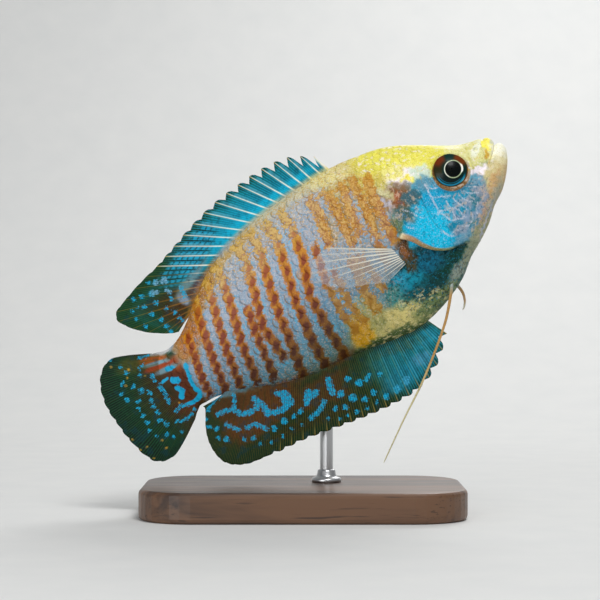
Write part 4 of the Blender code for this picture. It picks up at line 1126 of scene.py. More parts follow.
def eye_ball(side):
    """A flattened ball that faces out of the orbit: rings of points from the front pole back."""
    lean = np.concatenate([np.linspace(0.01, 0.5, 100), np.linspace(0.5, 0.99, 16)[1:]]) * np.pi
    turn = np.linspace(0, 2 * np.pi, 128, endpoint=False)
    lean, turn = np.meshgrid(lean, turn, indexing="ij")
    out = unit(np.array([-ORBIT_SLOPE_X, side, -ORBIT_SLOPE_Z]))
    ahead = unit(np.cross(np.cross(out, (1, 0, 0)), out))
    over = np.cross(ahead, out)
    wide = EYE_HALF_WIDTH * np.sin(lean)
    deep = EYE_HALF_DEPTH * np.cos(lean) + EYE_BULGE * np.exp(-((wide / 1.7) ** 2)) * (lean < 1.5)
    middle = np.array([EYE_X, side * EYE_Y, EYE_Z]) - out * EYE_SUNK
    return (middle + ahead * (wide * np.cos(turn))[..., None]
            + over * (wide * np.sin(turn))[..., None] + out * deep[..., None])


def iris_colours(x, z):
    """The painted rings, with a painted glint in the iris and a painted highlight on the pupil's ring, by
    the distance and direction from the middles of pupil and iris.
    """
    reach, angle = np.hypot(x - PUPIL_X, z - PUPIL_Z), np.arctan2(z - PUPIL_Z, x - PUPIL_X)
    out, turn = np.hypot(x - IRIS_X, z - IRIS_Z), np.arctan2(z - IRIS_Z, x - IRIS_X)
    colour = np.full(x.shape + (3,), (4.0, 40.0, 36.0))
    colour = lay(colour, (104, 42, 14), around_share(turn, 112, 32) * soft_step(out - 1.7, 1.2))
    colour = lay(colour, (40, 40, 20), around_share(turn, 150, 22) * soft_step(out - 1.4, 0.4))
    colour = lay(colour, (112, 50, 14), around_share(turn, 14, 28) * soft_step(out - 1.8, 0.9))
    colour = lay(colour, (0, 44, 40), around_share(turn, 60, 16, 10.0))
    colour = lay(colour, (0, 22, 22), around_share(turn, -125, 62) * soft_step(2.25 - out, 0.3))
    # Blue arcs low in the iris; the third, thin and pale, is a painted glint
    for middle, half, over, at, wide in ((2.52, 0.13, (22, 128, 164), -118, 66),
                                         (2.18, 0.08, (8, 92, 112), -128, 56),
                                         (2.68, 0.06, (120, 200, 214), -72, 12)):
        arc = soft_step(half - np.abs(out - middle), 0.12) * around_share(turn, at, wide)
        colour = lay(colour, over, arc)
    colour = lay(colour, (120, 66, 24), soft_step(out - IRIS_RADIUS, 0.2) * around_share(turn, -125, 110))
    # The white ring round the pupil, with a painted highlight where it is whitest and widest, on its lower
    # right
    ring = lay(np.full(colour.shape, (176.0, 190.0, 150.0)), (255, 250, 240),
               np.maximum(around_share(angle, -28, 30), 0.7 * around_share(angle, 150, 60)))
    width = RING_RADIUS - 0.06 + 0.16 * around_share(angle, -26, 26)
    colour = lay(colour, ring, soft_step(reach - PUPIL_RADIUS, 0.08) * soft_step(width - reach, 0.12))
    return lay(colour, (2, 8, 8), soft_step(PUPIL_RADIUS - reach, 0.08))


eye_finish = Finish("painted_glass", Roughness=0.3, Specular_IOR_Level=0.1, Coat_Weight=0.07,
                    Coat_Roughness=0.02, Coat_IOR=1.4)
flecks = eye_finish.noise(0.16, 2.0)
eye_finish.feed(Base_Color=eye_finish.mix(eye_finish.attribute("ground", "Color"), tint(90, 70, 24),
                                          eye_finish.ease(flecks, 0.60, 0.75) * 0.3))
for side, word in SIDES:
    ball = eye_ball(side)
    rings, turns = ball.shape[:2]
    faces = grid_faces(rings, turns, True).tolist()
    faces += [list(range(turns))[::-1], [(rings - 1) * turns + k for k in range(turns)]]
    points = ball.reshape(-1, 3)
    seen_x, seen_z = as_seen(points[:, 0], points[:, 1], points[:, 2])
    new_piece(f"glass_eye_{word}", points, faces, eye_finish, (f"eye_{word}",),
              {"ground": linear(iris_colours(seen_x, seen_z))})

# THE DORSAL FIN
# A web on fifteen hard, cream spines, cut back steeply behind the tip of each, then ten soft rays
# in a pointed lobe. It is cast in tinted resin, with the blue and its spots painted in.
GAP, FIN_SINK = 0.3, 1.3
DORSAL_SPINES, DORSAL_SOFT = 15, 10   # root x, tip x, tip z
DORSAL_SPINE_GUIDES = (
    (16.1, 15.3, 18.8), (12.7, 11.5, 21.2), (9.2, 6.9, 22.1), (5.6, 2.1, 22.15), (1.9, -2.7, 21.95),
    (-1.9, -7.8, 21.1), (-5.7, -12.6, 19.85), (-9.5, -16.9, 18.75),
)
DORSAL_SOFT_GUIDES = (
    (-10.9, -19.4, 18.35), (-13.1, -24.1, 17.3), (-14.9, -27.6, 15.6), (-16.4, -25.6, 11.6),
    (-17.7, -22.0, 8.5), (-18.9, -20.2, 7.6),
)
DORSAL_NOTCHES = (0.62, 0.41, 0.31, 0.24, 0.20, 0.16, 0.16, 0.12, 0.09, 0.07, 0.06, 0.05, 0.04, 0.03, 0.02)
RAY_COLUMNS = (0.0, 0.05, 0.11, 0.20, 0.32, 0.44, 0.55, 0.62, 0.68, 0.76, 0.86, 0.94)
WEB_DROP = (0.0, 0.09, 0.20, 0.36, 0.55, 0.76, 0.98, 0.62, 0.22, 0.08, 0.01, 0.0)
SPOT_BLUE, PALE_BLUE = (4, 166, 212), (118, 168, 196)
DORSAL_SPOTS = (
    (((-24.9, 13.4),), 0.34), (((-24.2, 11.6),), 0.40), (((-24.6, 14.9),), 0.30),
    (((-22.5, 14.4),), 0.42), (((-22.2, 12.7),), 0.46), (((-21.4, 11.0),), 0.42),
    (((-21.3, 9.6),), 0.46), (((-21.2, 8.4),), 0.38), (((-20.5, 13.8),), 0.46),
    (((-19.7, 12.0),), 0.42), (((-18.8, 10.7),), 0.46), (((-18.7, 9.6), (-18.5, 8.4)), 0.32),
    (((-23.3, 16.4),), 0.40), (((-21.9, 16.0),), 0.48), (((-20.2, 15.5),), 0.62),
    (((-18.6, 16.6),), 0.60), (((-17.3, 16.1),), 0.62), (((-19.6, 17.3),), 0.36),
    (((-23.4, 14.9),), 0.26), (((-19.4, 15.1),), 0.42), (((-17.9, 14.6), (-17.6, 13.8)), 0.36),
    (((-18.0, 12.9),), 0.42), (((-15.6, 13.5), (-15.9, 12.0)), 0.42),
)
DORSAL_PATCHES = (
    (-15.5, 12.4, 4.8, 2.4, 14, 0.7, (86, 34, 10)),
    (-20.5, 13.6, 4.5, 1.3, -16, 0.9, (54, 36, 14)),
    (-19.5, 9.8, 2.4, 2.4, 30, 0.8, (64, 32, 12)),
    (-0.5, 17.8, 14.5, 3.6, 2, 0.5, (0, 152, 186)),
    (-10.0, 16.4, 7.0, 2.6, 12, 0.6, (0, 146, 178)),
    (-4.0, 19.4, 6.0, 1.6, 8, 0.8, (0, 150, 186)),
    (9.5, 18.6, 7.0, 2.6, -8, 0.8, (0, 120, 146)),
    (2.0, 16.5, 13.0, 1.0, 4, 0.8, (0, 176, 214)),
    (-13.0, 14.0, 5.0, 0.9, 22, 0.9, (110, 136, 140)),
    (-16.3, 11.5, 0.8, 1.3, 20, 0.7, (146, 160, 184)),
)
SPINE_CREAM = (246, 240, 222)


def run_rows(points, at):
    """The Catmull-Rom curve through rows of a table, at these places counted in rows."""
    fine = spread_rows(points, (len(points) - 1) * 100 + 1)
    places = np.arange(len(fine)) / 100
    return np.stack([np.interp(at, places, column) for column in fine.T], axis=1)


def outline_z(x, column_x, column_z):
    """The height of the body's top or bottom outline at each x."""
    rings = spread_rows(BODY_RINGS, (len(BODY_RINGS) - 1) * 8 + 1)
    order = np.argsort(rings[:, column_x])
    return np.interp(x, rings[order, column_x], rings[order, column_z])


def fin_shape(rays, spines, notch, thick, root_half, sway, rows=40):
    """A fin between its root and its margin. Rays are rows of root x, z and tip x, z. The web's
    margin falls back behind each ray by its notch; a ray stands round in both faces of the web,
    and thins from its root to its tip. Gives both faces and each place's marks: its ray and its
    share along it, whether it is on the ray, and its distance out from the body's outline."""
    last = len(rays) - 1
    at = np.array([i + f for i in range(last) for f in RAY_COLUMNS] + [last])
    fall = np.append(np.outer(notch[:last], WEB_DROP).ravel(), 0.0)
    ends = run_rows(rays, at)
    root, tip = ends[:, :2], ends[:, 2:]
    start = root - unit(tip - root) * FIN_SINK
    share = np.linspace(0, 1, rows) ** 0.92
    t = share[None, :] * (1 - fall)[:, None]
    flat = start[:, None] + (tip - start)[:, None] * t[..., None]
    step = np.abs(at - np.round(at))
    width = np.linalg.norm(np.gradient(flat, at, axis=0), axis=2)
    number = np.round(at).astype(int)
    off = step[:, None] * width
    off[number == 0] *= 0.3
    hard = (number < spines)[:, None]
    ray_half = np.where(hard, 0.13 - 0.04 * t, 0.12 - 0.06 * t) * thick
    web = root_half * 0.35 * (1 - t) ** 3 + 0.06
    bulge = np.sqrt(np.clip(ray_half ** 2 - off ** 2, 0, None))
    half = np.maximum(web, bulge)
    middle = np.stack([flat[..., 0], np.zeros_like(t), flat[..., 1]], axis=-1)
    middle[..., 1] = sway(middle)
    side = np.zeros_like(middle)
    side[..., 1] = half
    long = np.linalg.norm(tip - start, axis=1)[:, None]
    return middle - side, middle + side, {"ray": np.broadcast_to(at[:, None], t.shape),
                                          "share": t, "mask": soft_step(ray_half - off, 0.09),
                                          "hard": hard & (t >= 0), "out": t * long - FIN_SINK + GAP}


def fin_finish(name, **constants):
    """Tinted resin: the ground colour with fine fibres along the rays, and grainy blue spots."""
    fin = Finish(name, Coat_Weight=0.05, Coat_Roughness=0.25, Specular_IOR_Level=0.12, **constants)
    grain, speck = fin.noise(0.5, 3.0, roughness=0.65), fin.noise(0.22, 2.0)
    blotch = fin.noise(1.5, 2.0)
    fine = fin.noise(0.3, 3.0, fin.shift(fin.object_place(), (0.3, 0.1, 0.2)), 0.7)
    wave = (fin.attribute("ray") * (2 * math.pi * 5) + (grain - 0.5) * 2.4)
    fibre = wave.maths("SINE", wave) * 0.5 + 0.5
    colour = fin.attribute("ground", "Color")
    plain = 1 - fin.attribute("pale")
    colour = fin.mix(colour, (0.0, 0.0, 0.0), fibre * fin.attribute("fibres") * plain * 0.5)
    colour = fin.mix(colour, fin.attribute("glint", "Color"), fin.ease(fibre, 0.42, 0.06) * plain * 0.40)
    colour = fin.mix(colour, (0.0, 0.0, 0.0), fin.ease(grain, 0.50, 0.30) * plain * 0.35)
    colour = fin.mix(colour, tint(0, 54, 66), fin.ease(blotch, 0.54, 0.68) * plain * 0.40)
    colour = fin.mix(colour, fin.attribute("glint", "Color"), fin.ease(speck, 0.56, 0.76) * plain * 0.35)
    clump = fin.cells(0.62, "DISTANCE_TO_EDGE")
    ragged = (grain - 0.5) * 1.15 + (fine - 0.5) * 0.7 - fibre * 0.07
    spot = fin.ease(fin.attribute("spot") + ragged, -0.10, 0.09)
    blue = fin.mix(fin.attribute("spot_colour", "Color"), tint(90, 208, 236),
                   fin.ease(speck, 0.5, 0.75) * 0.45)
    blue = fin.mix(blue, tint(0, 96, 130), fin.ease(fine, 0.48, 0.34) * 0.6)
    blue = fin.mix(blue, tint(0, 80, 108), fin.ease(fibre, 0.55, 0.95) * 0.45)
    blue = fin.mix(blue, colour, fin.ease(clump, 0.11, 0.03) * 0.6)
    colour = fin.mix(colour, blue, spot * (0.96 - fin.attribute("pale") * 0.5))
    height = fibre * 0.5 + grain * 0.5
    return fin.feed(Base_Color=colour, Roughness=0.42 + grain * 0.15, Normal=fin.bump(height, 0.04, 0.6))


def fin_piece(name, finish, shape, ground, spots, spot_colour, ray_colour, ray_share, glint,
              fibres=0.5, rooted=0.9):
    """Closes a fin's two faces into one plate and paints it by its place in side view, with the
    body's colours over its root."""
    right, left, marks = shape
    points, faces = slab(right, left)
    x, z = points[:, 0], points[:, 2]
    twice = {key: np.tile(np.ravel(value), 2) for key, value in marks.items()}
    on_ray = twice["mask"] * ray_share(x, z, twice)
    colour = lay(ground(x, z, twice), ray_colour(x, z, twice), on_ray)
    root = rooted * soft_step(0.45 - twice["out"], 0.9)
    colour = lay(colour, ground_colours(x, z), root)
    fields = {"ground": linear(colour), "spot": painted(x, z, spots) - twice["mask"] * 0.15,
              "spot_colour": linear(spot_colour(x, z)), "ray": twice["ray"], "pale": on_ray,
              "glint": linear(glint(x, z)), "fibres": np.full(len(x), fibres)}
    return new_piece(name, points, faces, finish, (name[:-5],), fields)


def constant(colour):
    """The same colour at every place."""
    return lambda x, z, *_: np.broadcast_to(np.array(colour, float), x.shape + (3,))


def across(front, rear, middle, width):
    """One colour ahead of this x and another behind it."""
    return lambda x, z, *_: lay(constant(front)(x, z), rear, soft_step(middle - x, width))


def middle_rays(guides, counts, columns, sign):
    """Rays of a fin on the middle line, rooted a gap off the body's outline as the solid's are."""
    rows = np.vstack([spread_rows(*pair) for pair in zip(guides, counts)])
    root_z = outline_z(rows[:, 0], *columns) + sign * GAP
    return np.stack([rows[:, 0], root_z, rows[:, 1], rows[:, 2]], axis=1)


def margin_green(colour, marks, green, width=0.16, start=0.0):
    """The dark margin of a fin, over the last of each ray's length."""
    return lay(colour, green, soft_step(marks["share"] - (1 - width), 0.16) * (1 - start))


def dorsal_ground(x, z, marks):
    """Teal, green behind, with a pale fringe along the front of each spine and a dark rear edge."""
    colour = lay_patches(across((2, 78, 92), (0, 46, 26), -15.0, 7.0)(x, z), x, z, DORSAL_PATCHES)
    phase, outer = marks["ray"] % 1, marks["share"]
    colour = lay(colour, (6, 106, 104), 0.6 * soft_step(outer - 0.60, 0.5))
    between, along = (2 * phase) % 1, (marks["out"] / 0.95) % 1
    cell = np.minimum(0.5 - np.abs(between - 0.5), 1.24 * (0.5 - np.abs(along - 0.5)))
    tiled = patch_share(x, z, -11.6, 17.3, 6.6, 2.6, 15, 0.5)
    colour = lay(colour, (0, 50, 52), 0.9 * tiled * soft_step(0.17 - cell, 0.1))
    colour = lay(colour, (30, 166, 208), tiled * soft_step(cell - 0.19, 0.1))
    behind = soft_step(0.62 - phase, 0.5) * soft_step(outer - 0.86, 0.25) * marks["hard"]
    colour = lay(colour, (4, 66, 40), behind)
    fringe = soft_step(phase - 0.72, 0.16) * soft_step(outer - 0.42, 0.4) * marks["hard"]
    colour = lay(colour, (96, 168, 188), 0.75 * fringe * soft_step(x + 14.0, 8.0))
    colour = margin_green(colour, marks, (8, 60, 34), 0.10 + 0.10 * soft_step(-14 - x, 8.0))
    return lay(colour, SPINE_CREAM, 0.85 * soft_step(0.26 - marks["ray"], 0.2))


def dorsal_rays(x, z, marks):
    cream = lay(constant(SPINE_CREAM)(x, z), (206, 176, 110), soft_step(marks["share"] - 0.94, 0.1))
    return lay(cream, (176, 120, 30), soft_step(-14.5 - x, 4.0) * (1 - marks["hard"]))


notch = np.append(DORSAL_NOTCHES, np.full(DORSAL_SOFT, 0.01))
rays = middle_rays((DORSAL_SPINE_GUIDES, DORSAL_SOFT_GUIDES), (DORSAL_SPINES, DORSAL_SOFT), (0, 1), 1)
shape = fin_shape(rays, DORSAL_SPINES, notch, 1.0, 0.5,
                  lambda p: 0.5 * soft_step(-14 - p[..., 0], 12.0))
membrane = fin_finish("tinted_web")
fin_piece("dorsal_fin_skin", membrane, shape, dorsal_ground, DORSAL_SPOTS,
          lambda x, z: lay(constant(SPOT_BLUE)(x, z), PALE_BLUE,
                           patch_share(x, z, -17.0, 15.4, 3.6, 1.9, 0, 0.6)),
          dorsal_rays,
          lambda x, z, m: np.where(m["hard"], 0.96, 0.5),
          across((20, 170, 205), (50, 90, 30), -15.0, 5.0))

# THE ANAL FIN
# As long as the belly: seventeen short spines whose tips stand out of the web, then fifteen soft
# rays that end in a round lobe. Rust brown at its root and green at its margin, with blue bands.
ANAL_SPINES, ANAL_SOFT = 17, 15
ANAL_SPINE_GUIDES = (
    (15.4, 16.6, -18.5), (12.1, 12.2, -21.9), (8.7, 7.6, -23.4), (5.4, 3.3, -23.2),
    (2.0, -0.9, -22.5), (-1.3, -5.1, -21.5), (-4.6, -9.3, -20.4), (-7.9, -13.5, -19.3),
    (-11.3, -17.7, -18.6),
)
ANAL_SOFT_GUIDES = (
    (-12.6, -19.6, -18.1), (-15.2, -23.6, -17.1), (-17.3, -26.3, -14.9), (-18.7, -26.8, -11.7),
    (-20.0, -25.9, -8.6), (-21.2, -24.0, -5.7),
    (-22.3, -24.0, -5.0),
)
ANAL_SPOTS = (
    (((-23.6, -6.0), (-22.4, -5.5), (-20.6, -5.2)), 0.30),
    (((-22.8, -7.5), (-21.4, -7.7), (-20.0, -8.3), (-19.0, -7.2), (-18.7, -6.4)), 0.40),
    (((-20.0, -8.4), (-19.6, -9.6), (-18.4, -10.3), (-16.8, -10.4), (-15.8, -9.6), (-16.3, -8.7)), 0.50),
    (((-15.7, -10.0), (-15.6, -11.2), (-15.9, -12.1), (-14.6, -12.8), (-13.0, -13.1), (-11.5, -12.9),
      (-11.2, -11.6), (-12.6, -10.3)), 0.52),
    (((-12.0, -12.0), (-11.7, -11.2)), 0.80),
    (((-22.5, -9.6), (-22.0, -10.6), (-21.3, -11.8)), 0.38),
    (((-20.0, -12.2), (-18.6, -12.4), (-17.9, -13.3), (-17.4, -14.2)), 0.42),
    (((-21.5, -13.5),), 0.42), (((-20.1, -14.3),), 0.46), (((-16.3, -14.9),), 0.52),
    (((-14.2, -14.8),), 0.58), (((-12.5, -15.2),), 0.44), (((-11.0, -15.1),), 0.50),
    (((-19.6, -15.6),), 0.34), (((-18.1, -16.5),), 0.30), (((-15.9, -16.8),), 0.34),
    (((-13.9, -16.6),), 0.30), (((-12.2, -17.0),), 0.30),
    (((-9.3, -14.5), (-8.2, -13.2)), 0.60), (((-8.4, -13.9), (-7.2, -14.0)), 0.66),
    (((-10.4, -17.1), (-8.8, -16.9), (-7.4, -16.5)), 0.40), (((-6.9, -16.0),), 0.55),
    (((-4.9, -15.6), (-4.6, -14.4), (-4.2, -13.5)), 0.58), (((-3.9, -16.6),), 0.62),
    (((-1.5, -15.2),), 0.56), (((-0.3, -16.8),), 0.64), (((0.9, -17.0), (2.1, -16.6)), 0.36),
    (((-6.0, -18.1),), 0.50), (((-4.5, -18.8),), 0.54), (((-2.5, -18.3),), 0.70),
    (((-7.9, -18.7),), 0.36), (((-1.1, -19.6),), 0.58), (((0.8, -19.5),), 0.54),
    (((-3.3, -20.6),), 0.42), (((-6.3, -19.9),), 0.30), (((-5.0, -20.2),), 0.28),
    (((2.2, -21.3),), 0.60), (((4.3, -21.4),), 0.70), (((6.5, -21.0),), 0.74),
    (((0.4, -21.2),), 0.36), (((-1.6, -21.1),), 0.34), (((3.4, -17.6),), 0.40),
    (((-24.7, -7.0),), 0.32), (((-25.1, -8.4),), 0.38), (((-24.2, -9.3),), 0.46),
    (((-24.8, -10.9),), 0.42), (((-23.9, -11.8),), 0.50),
)
ANAL_PATCHES = (
    (-15.5, -10.0, 9.0, 4.2, 14, 0.5, (96, 52, 18)),
    (-5.5, -14.6, 8.0, 2.6, -10, 0.7, (74, 48, 18)),
    (-20.5, -7.4, 3.0, 2.4, 0, 0.7, (80, 42, 14)),
    (-11.0, -17.8, 9.0, 1.6, -10, 0.8, (40, 46, 16)),
    (3.0, -16.2, 5.0, 2.4, -8, 0.7, (0, 60, 40)),
    (9.5, -18.6, 7.5, 3.8, -14, 0.7, (0, 108, 112)),
    (6.4, -20.6, 4.5, 2.0, 0, 0.7, (0, 122, 146)),
    (13.2, -17.0, 2.6, 1.5, -10, 0.7, (20, 146, 172)),
    (10.6, -19.6, 1.9, 1.0, -14, 1.0, (70, 150, 184)),
    (8.2, -15.6, 4.5, 0.9, -14, 0.8, (40, 76, 40)),
)


def anal_ground(x, z, marks):
    colour = lay_patches(constant((0, 52, 26))(x, z), *pushed(x, z), ANAL_PATCHES)
    colour = lay(colour, (0, 62, 60), 0.5 * soft_step(x - 3.0, 4.0) * np.sin(marks["ray"] * np.pi) ** 8)
    colour = lay(colour, (84, 172, 200), 0.65 * soft_step(x - 3.0, 4.0)
                 * np.cos(marks["ray"] * 2 * np.pi * 2) ** 4)
    return margin_green(colour, marks, (2, 50, 26), 0.12, 0.4 * soft_step(x - 4.0, 4.0))


def anal_rays(x, z, marks):
    """Olive rays; the spines' free tips are brownish yellow."""
    olive = across((96, 104, 50), (26, 54, 18), -6.0, 12.0)(x, z)
    return lay(olive, (176, 140, 70), soft_step(marks["share"] - 0.86, 0.2) * marks["hard"])


number = np.arange(ANAL_SPINES + ANAL_SOFT)
notch = np.where(number < ANAL_SPINES, 0.035 + 0.24 * np.exp(-number / 1.6), 0.008)
rays = middle_rays((ANAL_SPINE_GUIDES, ANAL_SOFT_GUIDES), (ANAL_SPINES, ANAL_SOFT), (5, 6), -1)
shape = fin_shape(rays, ANAL_SPINES, notch, 0.85, 0.5,
                  lambda p: -0.5 * soft_step(-14 - p[..., 0], 12.0))
fin_piece("anal_fin_skin", membrane, shape, anal_ground, ANAL_SPOTS,
          across((60, 160, 200), SPOT_BLUE, 4.0, 4.0), anal_rays,
          lambda x, z, m: np.where(m["hard"], 0.35 + 0.5 * soft_step(m["share"] - 0.8, 0.3), 0.35),
          across((40, 150, 176), (96, 84, 26), 4.0, 6.0), 0.8)

# THE TAIL FIN
# A fan of seventeen branched rays with a slightly wavy margin, rooted in the end of the stalk.
# Its rays are rust red above and at the root, and a broken box of blue is painted round the root.
CAUDAL_RAYS = 17   # root z, tip x, tip z
CAUDAL_GUIDES = (
    (6.1, -26.4, 7.5), (5.7, -32.1, 10.4), (4.7, -35.7, 8.6), (3.0, -37.4, 4.6),
    (0.9, -37.6, 0.6), (-1.3, -37.4, -3.2), (-3.0, -36.1, -7.8), (-4.1, -32.4, -9.0),
    (-4.5, -26.3, -6.0),
)
CAUDAL_SPOTS = TAIL_BLUE + (
    (((-29.7, 5.3),), 0.36), (((-31.7, 4.4),), 0.46), (((-30.9, 3.1),), 0.52),
    (((-30.1, 2.0),), 0.48), (((-30.6, 0.8),), 0.42), (((-30.8, -0.3),), 0.44),
    (((-30.8, -1.5),), 0.42), (((-31.3, -2.8),), 0.46), (((-30.8, -3.9),), 0.44),
    (((-31.7, -5.5),), 0.42), (((-31.0, -6.4),), 0.32), (((-29.4, -6.4),), 0.30),
    (((-31.4, 7.0),), 0.40), (((-31.6, 8.4),), 0.30), (((-33.2, 5.8), (-32.7, 5.9)), 0.30),
    (((-34.1, 4.6),), 0.38), (((-33.9, 3.2),), 0.42), (((-32.7, 1.9), (-32.2, 1.9)), 0.28),
    (((-33.1, 0.8),), 0.34), (((-33.2, -0.5),), 0.36), (((-33.3, -1.8),), 0.36),
    (((-33.7, -3.2),), 0.36), (((-33.2, -4.6),), 0.30), (((-29.2, 6.2), (-28.2, 6.5)), 0.22),
    (((-28.2, 7.8), (-26.6, 7.2)), 0.26), (((-32.2, 10.2),), 0.36),
)
CAUDAL_DOTS = (
    ((-32.9, 9.3), 0.22), ((-30.7, 7.2), 0.24), ((-31.7, 6.2), 0.18), ((-32.7, 5.3), 0.20),
    ((-29.1, 4.8), 0.16), ((-32.9, -5.7), 0.22), ((-35.7, -5.2), 0.20), ((-33.1, -7.2), 0.22),
    ((-37.0, -2.8), 0.20), ((-36.9, -5.0), 0.20), ((-26.9, -2.2), 0.18), ((-35.8, -7.4), 0.18),
)


def stalk_end_x(z):
    """The x of the tail stalk's end at each height: straight from its side point to each edge."""
    top_x, top_z, side_x, _, side_z, low_x, low_z = BODY_RINGS[-1, :7]
    up = np.clip((z - side_z) / (top_z - side_z), 0, 1)
    down = np.clip((side_z - z) / (side_z - low_z), 0, 1)
    return side_x + up * (top_x - side_x) + down * (low_x - side_x)


def caudal_ground(x, z, marks):
    colour = lay(tail_colours(x, z), (0, 32, 22), soft_step(marks["share"] - 0.80, 0.25))
    for place, half in CAUDAL_DOTS:
        colour = lay(colour, (224, 170, 50), soft_step(half - from_line(x, z, (place,))[0], 0.16))
    return colour


rows = spread_rows(CAUDAL_GUIDES, CAUDAL_RAYS)
rays = np.stack([stalk_end_x(rows[:, 0]) - GAP, rows[:, 0], rows[:, 1], rows[:, 2]], axis=1)
shape = fin_shape(rays, 0, np.full(CAUDAL_RAYS, 0.015), 1.2, 0.5,
                  lambda p: 0.9 * ((-24.5 - p[..., 0]) / 13.0) ** 2 * (p[..., 0] < -24.5), 56)
fin_piece("caudal_fin_skin", membrane, shape, caudal_ground, CAUDAL_SPOTS,
          constant(SPOT_BLUE), constant((58, 70, 22)), lambda x, z, m: 0.45 + 0 * x,
          across((128, 66, 24), (30, 96, 52), -29.5, 5.0), 1.0, 0.0)

# THE PECTORAL FINS
# Clear fans on ten pale rays, rooted in a dark patch behind the gill cover and lying back beside
# the flank. The web is nearly glass, so only the rays show against the body.
PECTORAL_RAYS = 10   # root x, root z, tip x, tip z
PECTORAL_GUIDES = (
    (18.3, -2.5, 8.1, 4.8), (18.2, -2.9, 4.8, 4.3), (18.1, -3.4, 3.2, 1.8), (18.0, -3.8, 5.6, -1.6),
    (17.9, -4.2, 9.6, -3.8), (18.0, -4.7, 12.8, -5.6),
)
PECTORAL_INNER, PECTORAL_RISE, PECTORAL_SPREAD = 4.6, 2.6, 2.9

clear = Finish("clear_web", Roughness=0.3, Specular_IOR_Level=0.3, Coat_Weight=0.1)
ray_mask, far = clear.attribute("mask"), clear.attribute("share")
grain = clear.noise(0.5, 2.0)
wave = clear.attribute("ray") * (2 * math.pi * 3) + (grain - 0.5) * 2.0
threads = clear.ease(wave.maths("SINE", wave), 0.6, 0.95)
clear.feed(Base_Color=clear.mix(tint(186, 198, 208), tint(236, 232, 214), ray_mask),
           Alpha=0.15 + ray_mask * (0.62 - far * 0.50) + threads * (0.12 - far * 0.1) + (1 - far) ** 5 * 0.5,
           Normal=clear.bump(grain * 0.5 + threads * 0.5, 0.03, 0.5))
rows = spread_rows(PECTORAL_GUIDES, PECTORAL_RAYS)
root_x, tip_x = rows[:, 0].mean(), rows[:, 2].min()


def pectoral_sway(middle):
    """Out from the flank steeply at first, then back beside it, on the right side."""
    t = np.clip((root_x - middle[..., 0]) / (root_x - tip_x), 0, 1)
    return -(PECTORAL_INNER + PECTORAL_RISE * (1 - (1 - t) ** 7) + PECTORAL_SPREAD * t)


right, left, marks = fin_shape(rows, 0, np.full(PECTORAL_RAYS, 0.03), 1.15, 0.6, pectoral_sway, 44)
points, faces = slab(right, left)
fields = {key: np.tile(np.ravel(marks[key]), 2) for key in ("ray", "share", "mask")}
for side, word in SIDES:
    new_piece(f"pectoral_fin_{word}_skin", mirrored(points, side), faces, clear,
              (f"pectoral_fin_{word}",), fields)

# THE THREAD FINS
# The pelvic fins are one long feeler each, from the throat: pale where they leave the belly, then
# golden, and pale again towards the tip. Each is a tapering wire covered in soft resin.
THREAD_ROOT_RADIUS, THREAD_TIP_RADIUS = 0.30, 0.10
THREADS = (
    ("right", ((22.6, -1.6, -11.2), (20.5, -2.5, -13.6), (16.5, -3.2, -17.2), (9.0, -3.6, -22.2),
               (2.0, -3.2, -26.1), (-4.6, -2.4, -30.0))),
    ("left", ((22.6, 1.4, -11.6), (22.9, 2.6, -14.2), (22.6, 5.0, -15.8), (22.1, 8.8, -16.9),
              (21.9, 13.0, -17.4))),
)
THREAD_STOPS = (0.0, 0.10, 0.20, 0.50, 0.66, 1.0)
THREAD_COLOURS = ((120, 130, 110), (152, 166, 160), (176, 134, 72), (182, 136, 66), (196, 184, 132),
                  (206, 200, 156))
THREAD_STEPS, THREAD_SIDES = 160, 14

thread_finish = Finish("thread_skin", Coat_Weight=0.3, Coat_Roughness=0.2)
grain = thread_finish.noise(0.35, 3.0)
thread_finish.feed(Base_Color=thread_finish.mix(thread_finish.attribute("ground", "Color"),
                                                tint(92, 62, 30), thread_finish.ease(grain, 0.5, 0.3) * 0.4),
                   Roughness=0.35 + grain * 0.2, Normal=thread_finish.bump(grain, 0.03, 0.5))


def tube(path, radii, sides):
    """A closed tube: a circle of this radius square to the path at each of its points."""
    along = unit(np.gradient(path, axis=0))
    beside = unit(np.cross(along, (0.1, 1.0, 0.2)))
    over = np.cross(along, beside)
    turn = np.linspace(0, 2 * np.pi, sides, endpoint=False)[None, :, None]
    rings = path[:, None] + radii[:, None, None] * (beside[:, None] * np.cos(turn)
                                                   + over[:, None] * np.sin(turn))
    count = len(path)
    faces = grid_faces(count, sides, True).tolist()
    faces += [list(range(sides))[::-1], [(count - 1) * sides + k for k in range(sides)]]
    return rings, faces


for word, path in THREADS:
    share = np.linspace(0, 1, THREAD_STEPS)
    radii = THREAD_ROOT_RADIUS + (THREAD_TIP_RADIUS - THREAD_ROOT_RADIUS) * share
    radii[-4:] *= (0.9, 0.75, 0.5, 0.15)
    rings, faces = tube(spread_rows(path, THREAD_STEPS), radii, THREAD_SIDES)
    colour = by_height(np.repeat(share, THREAD_SIDES), THREAD_STOPS, THREAD_COLOURS)
    new_piece(f"thread_{word}", rings, faces, thread_finish, (f"pelvic_fin_{word}",),
              {"ground": linear(colour)})

# THE STAND
# A block of dark oiled wood with eased edges and a satin steel rod, which meets the belly on its
# left side, clear of the anal fin. A turned steel collar covers the hole that the rod is set in.
ROD_X, ROD_Y, BASE_THICK = 4.0, 3.6, 5.0
COLLAR = ((1.12, 0.0), (2.5, 0.0), (2.5, 0.5), (2.35, 0.75), (1.9, 0.9), (1.6, 1.3), (1.5, 1.9),
          (1.35, 2.15), (1.12, 2.2))

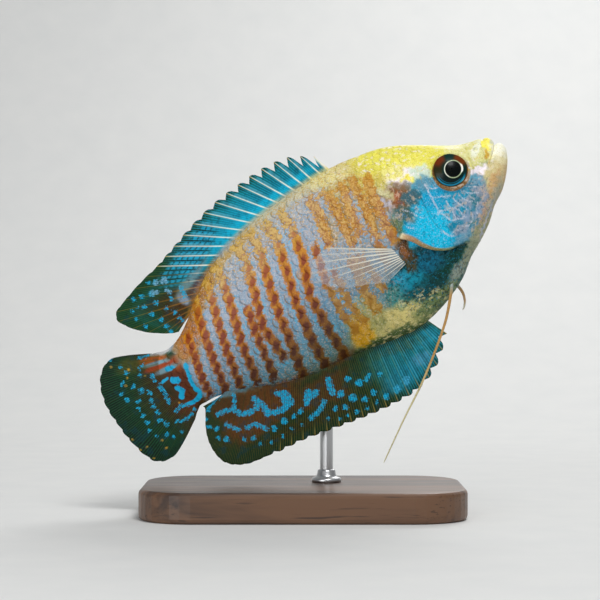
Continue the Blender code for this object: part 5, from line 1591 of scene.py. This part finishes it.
wood = Finish("oiled_walnut", Coat_Weight=0.25, Coat_Roughness=0.25)
place = wood.object_place()
wander = wood.noise(26.0, 3.0, wood.stretch(place, (0.25, 1.0, 1.0)))
rings = wood.noise(2.6, 4.0, wood.stretch(place, (0.06, 1.0, 0.7)), 0.6, 0.6)
pores = wood.noise(0.42, 2.0, wood.stretch(place, (0.05, 1.0, 1.0)))
brown = wood.mix(tint(58, 38, 26), tint(104, 72, 48), wood.ease(rings + (wander - 0.5) * 0.8, 0.35, 0.68))
brown = wood.mix(brown, tint(34, 22, 16), wood.ease(pores, 0.60, 0.74) * 0.7)
wood.feed(Base_Color=brown, Roughness=0.38 + pores * 0.2, Normal=wood.bump(1 - pores, 0.05, 0.35))
steel = Finish("satin_steel", Metallic=1.0)
brushed = steel.noise(0.12, 2.0, steel.stretch(steel.object_place(), (1.0, 1.0, 0.02)))
steel.feed(Base_Color=steel.mix(tint(176, 178, 180), tint(206, 207, 208), brushed),
           Roughness=0.24 + brushed * 0.16)
for node, finish in (("stand_base", wood), ("stand_rod", steel)):
    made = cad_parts[node]
    made.data.materials.clear()
    made.data.materials.append(finish.material)

profile = np.array(COLLAR)
turn = np.linspace(0, 2 * np.pi, 64, endpoint=False)
collar = np.stack(np.broadcast_arrays(
    ROD_X + profile[:, [0]] * np.cos(turn), ROD_Y + profile[:, [0]] * np.sin(turn),
    BASE_THICK + 0.02 + profile[:, [1]]), axis=-1)
mesh = bpy.data.meshes.new("stand_collar")
faces = grid_faces(len(profile), 64, True)
closing = np.stack([np.arange(64) + (len(profile) - 1) * 64, np.arange(64),
                    np.roll(np.arange(64), -1), np.roll(np.arange(64), -1) + (len(profile) - 1) * 64], 1)
faces = np.vstack([faces, closing])
corners = collar.reshape(-1, 3) * MM
faces = faces.tolist() if enclosed(corners, faces.tolist()) > 0 else faces[:, ::-1].tolist()
mesh.from_pydata(corners.tolist(), [], faces)
mesh.shade_smooth()
mesh.materials.append(steel.material)
collar_piece = bpy.data.objects.new("stand_collar", mesh)
bpy.context.scene.collection.objects.link(collar_piece)
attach(collar_piece, "root")

bpy.context.view_layer.update()
low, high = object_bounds()
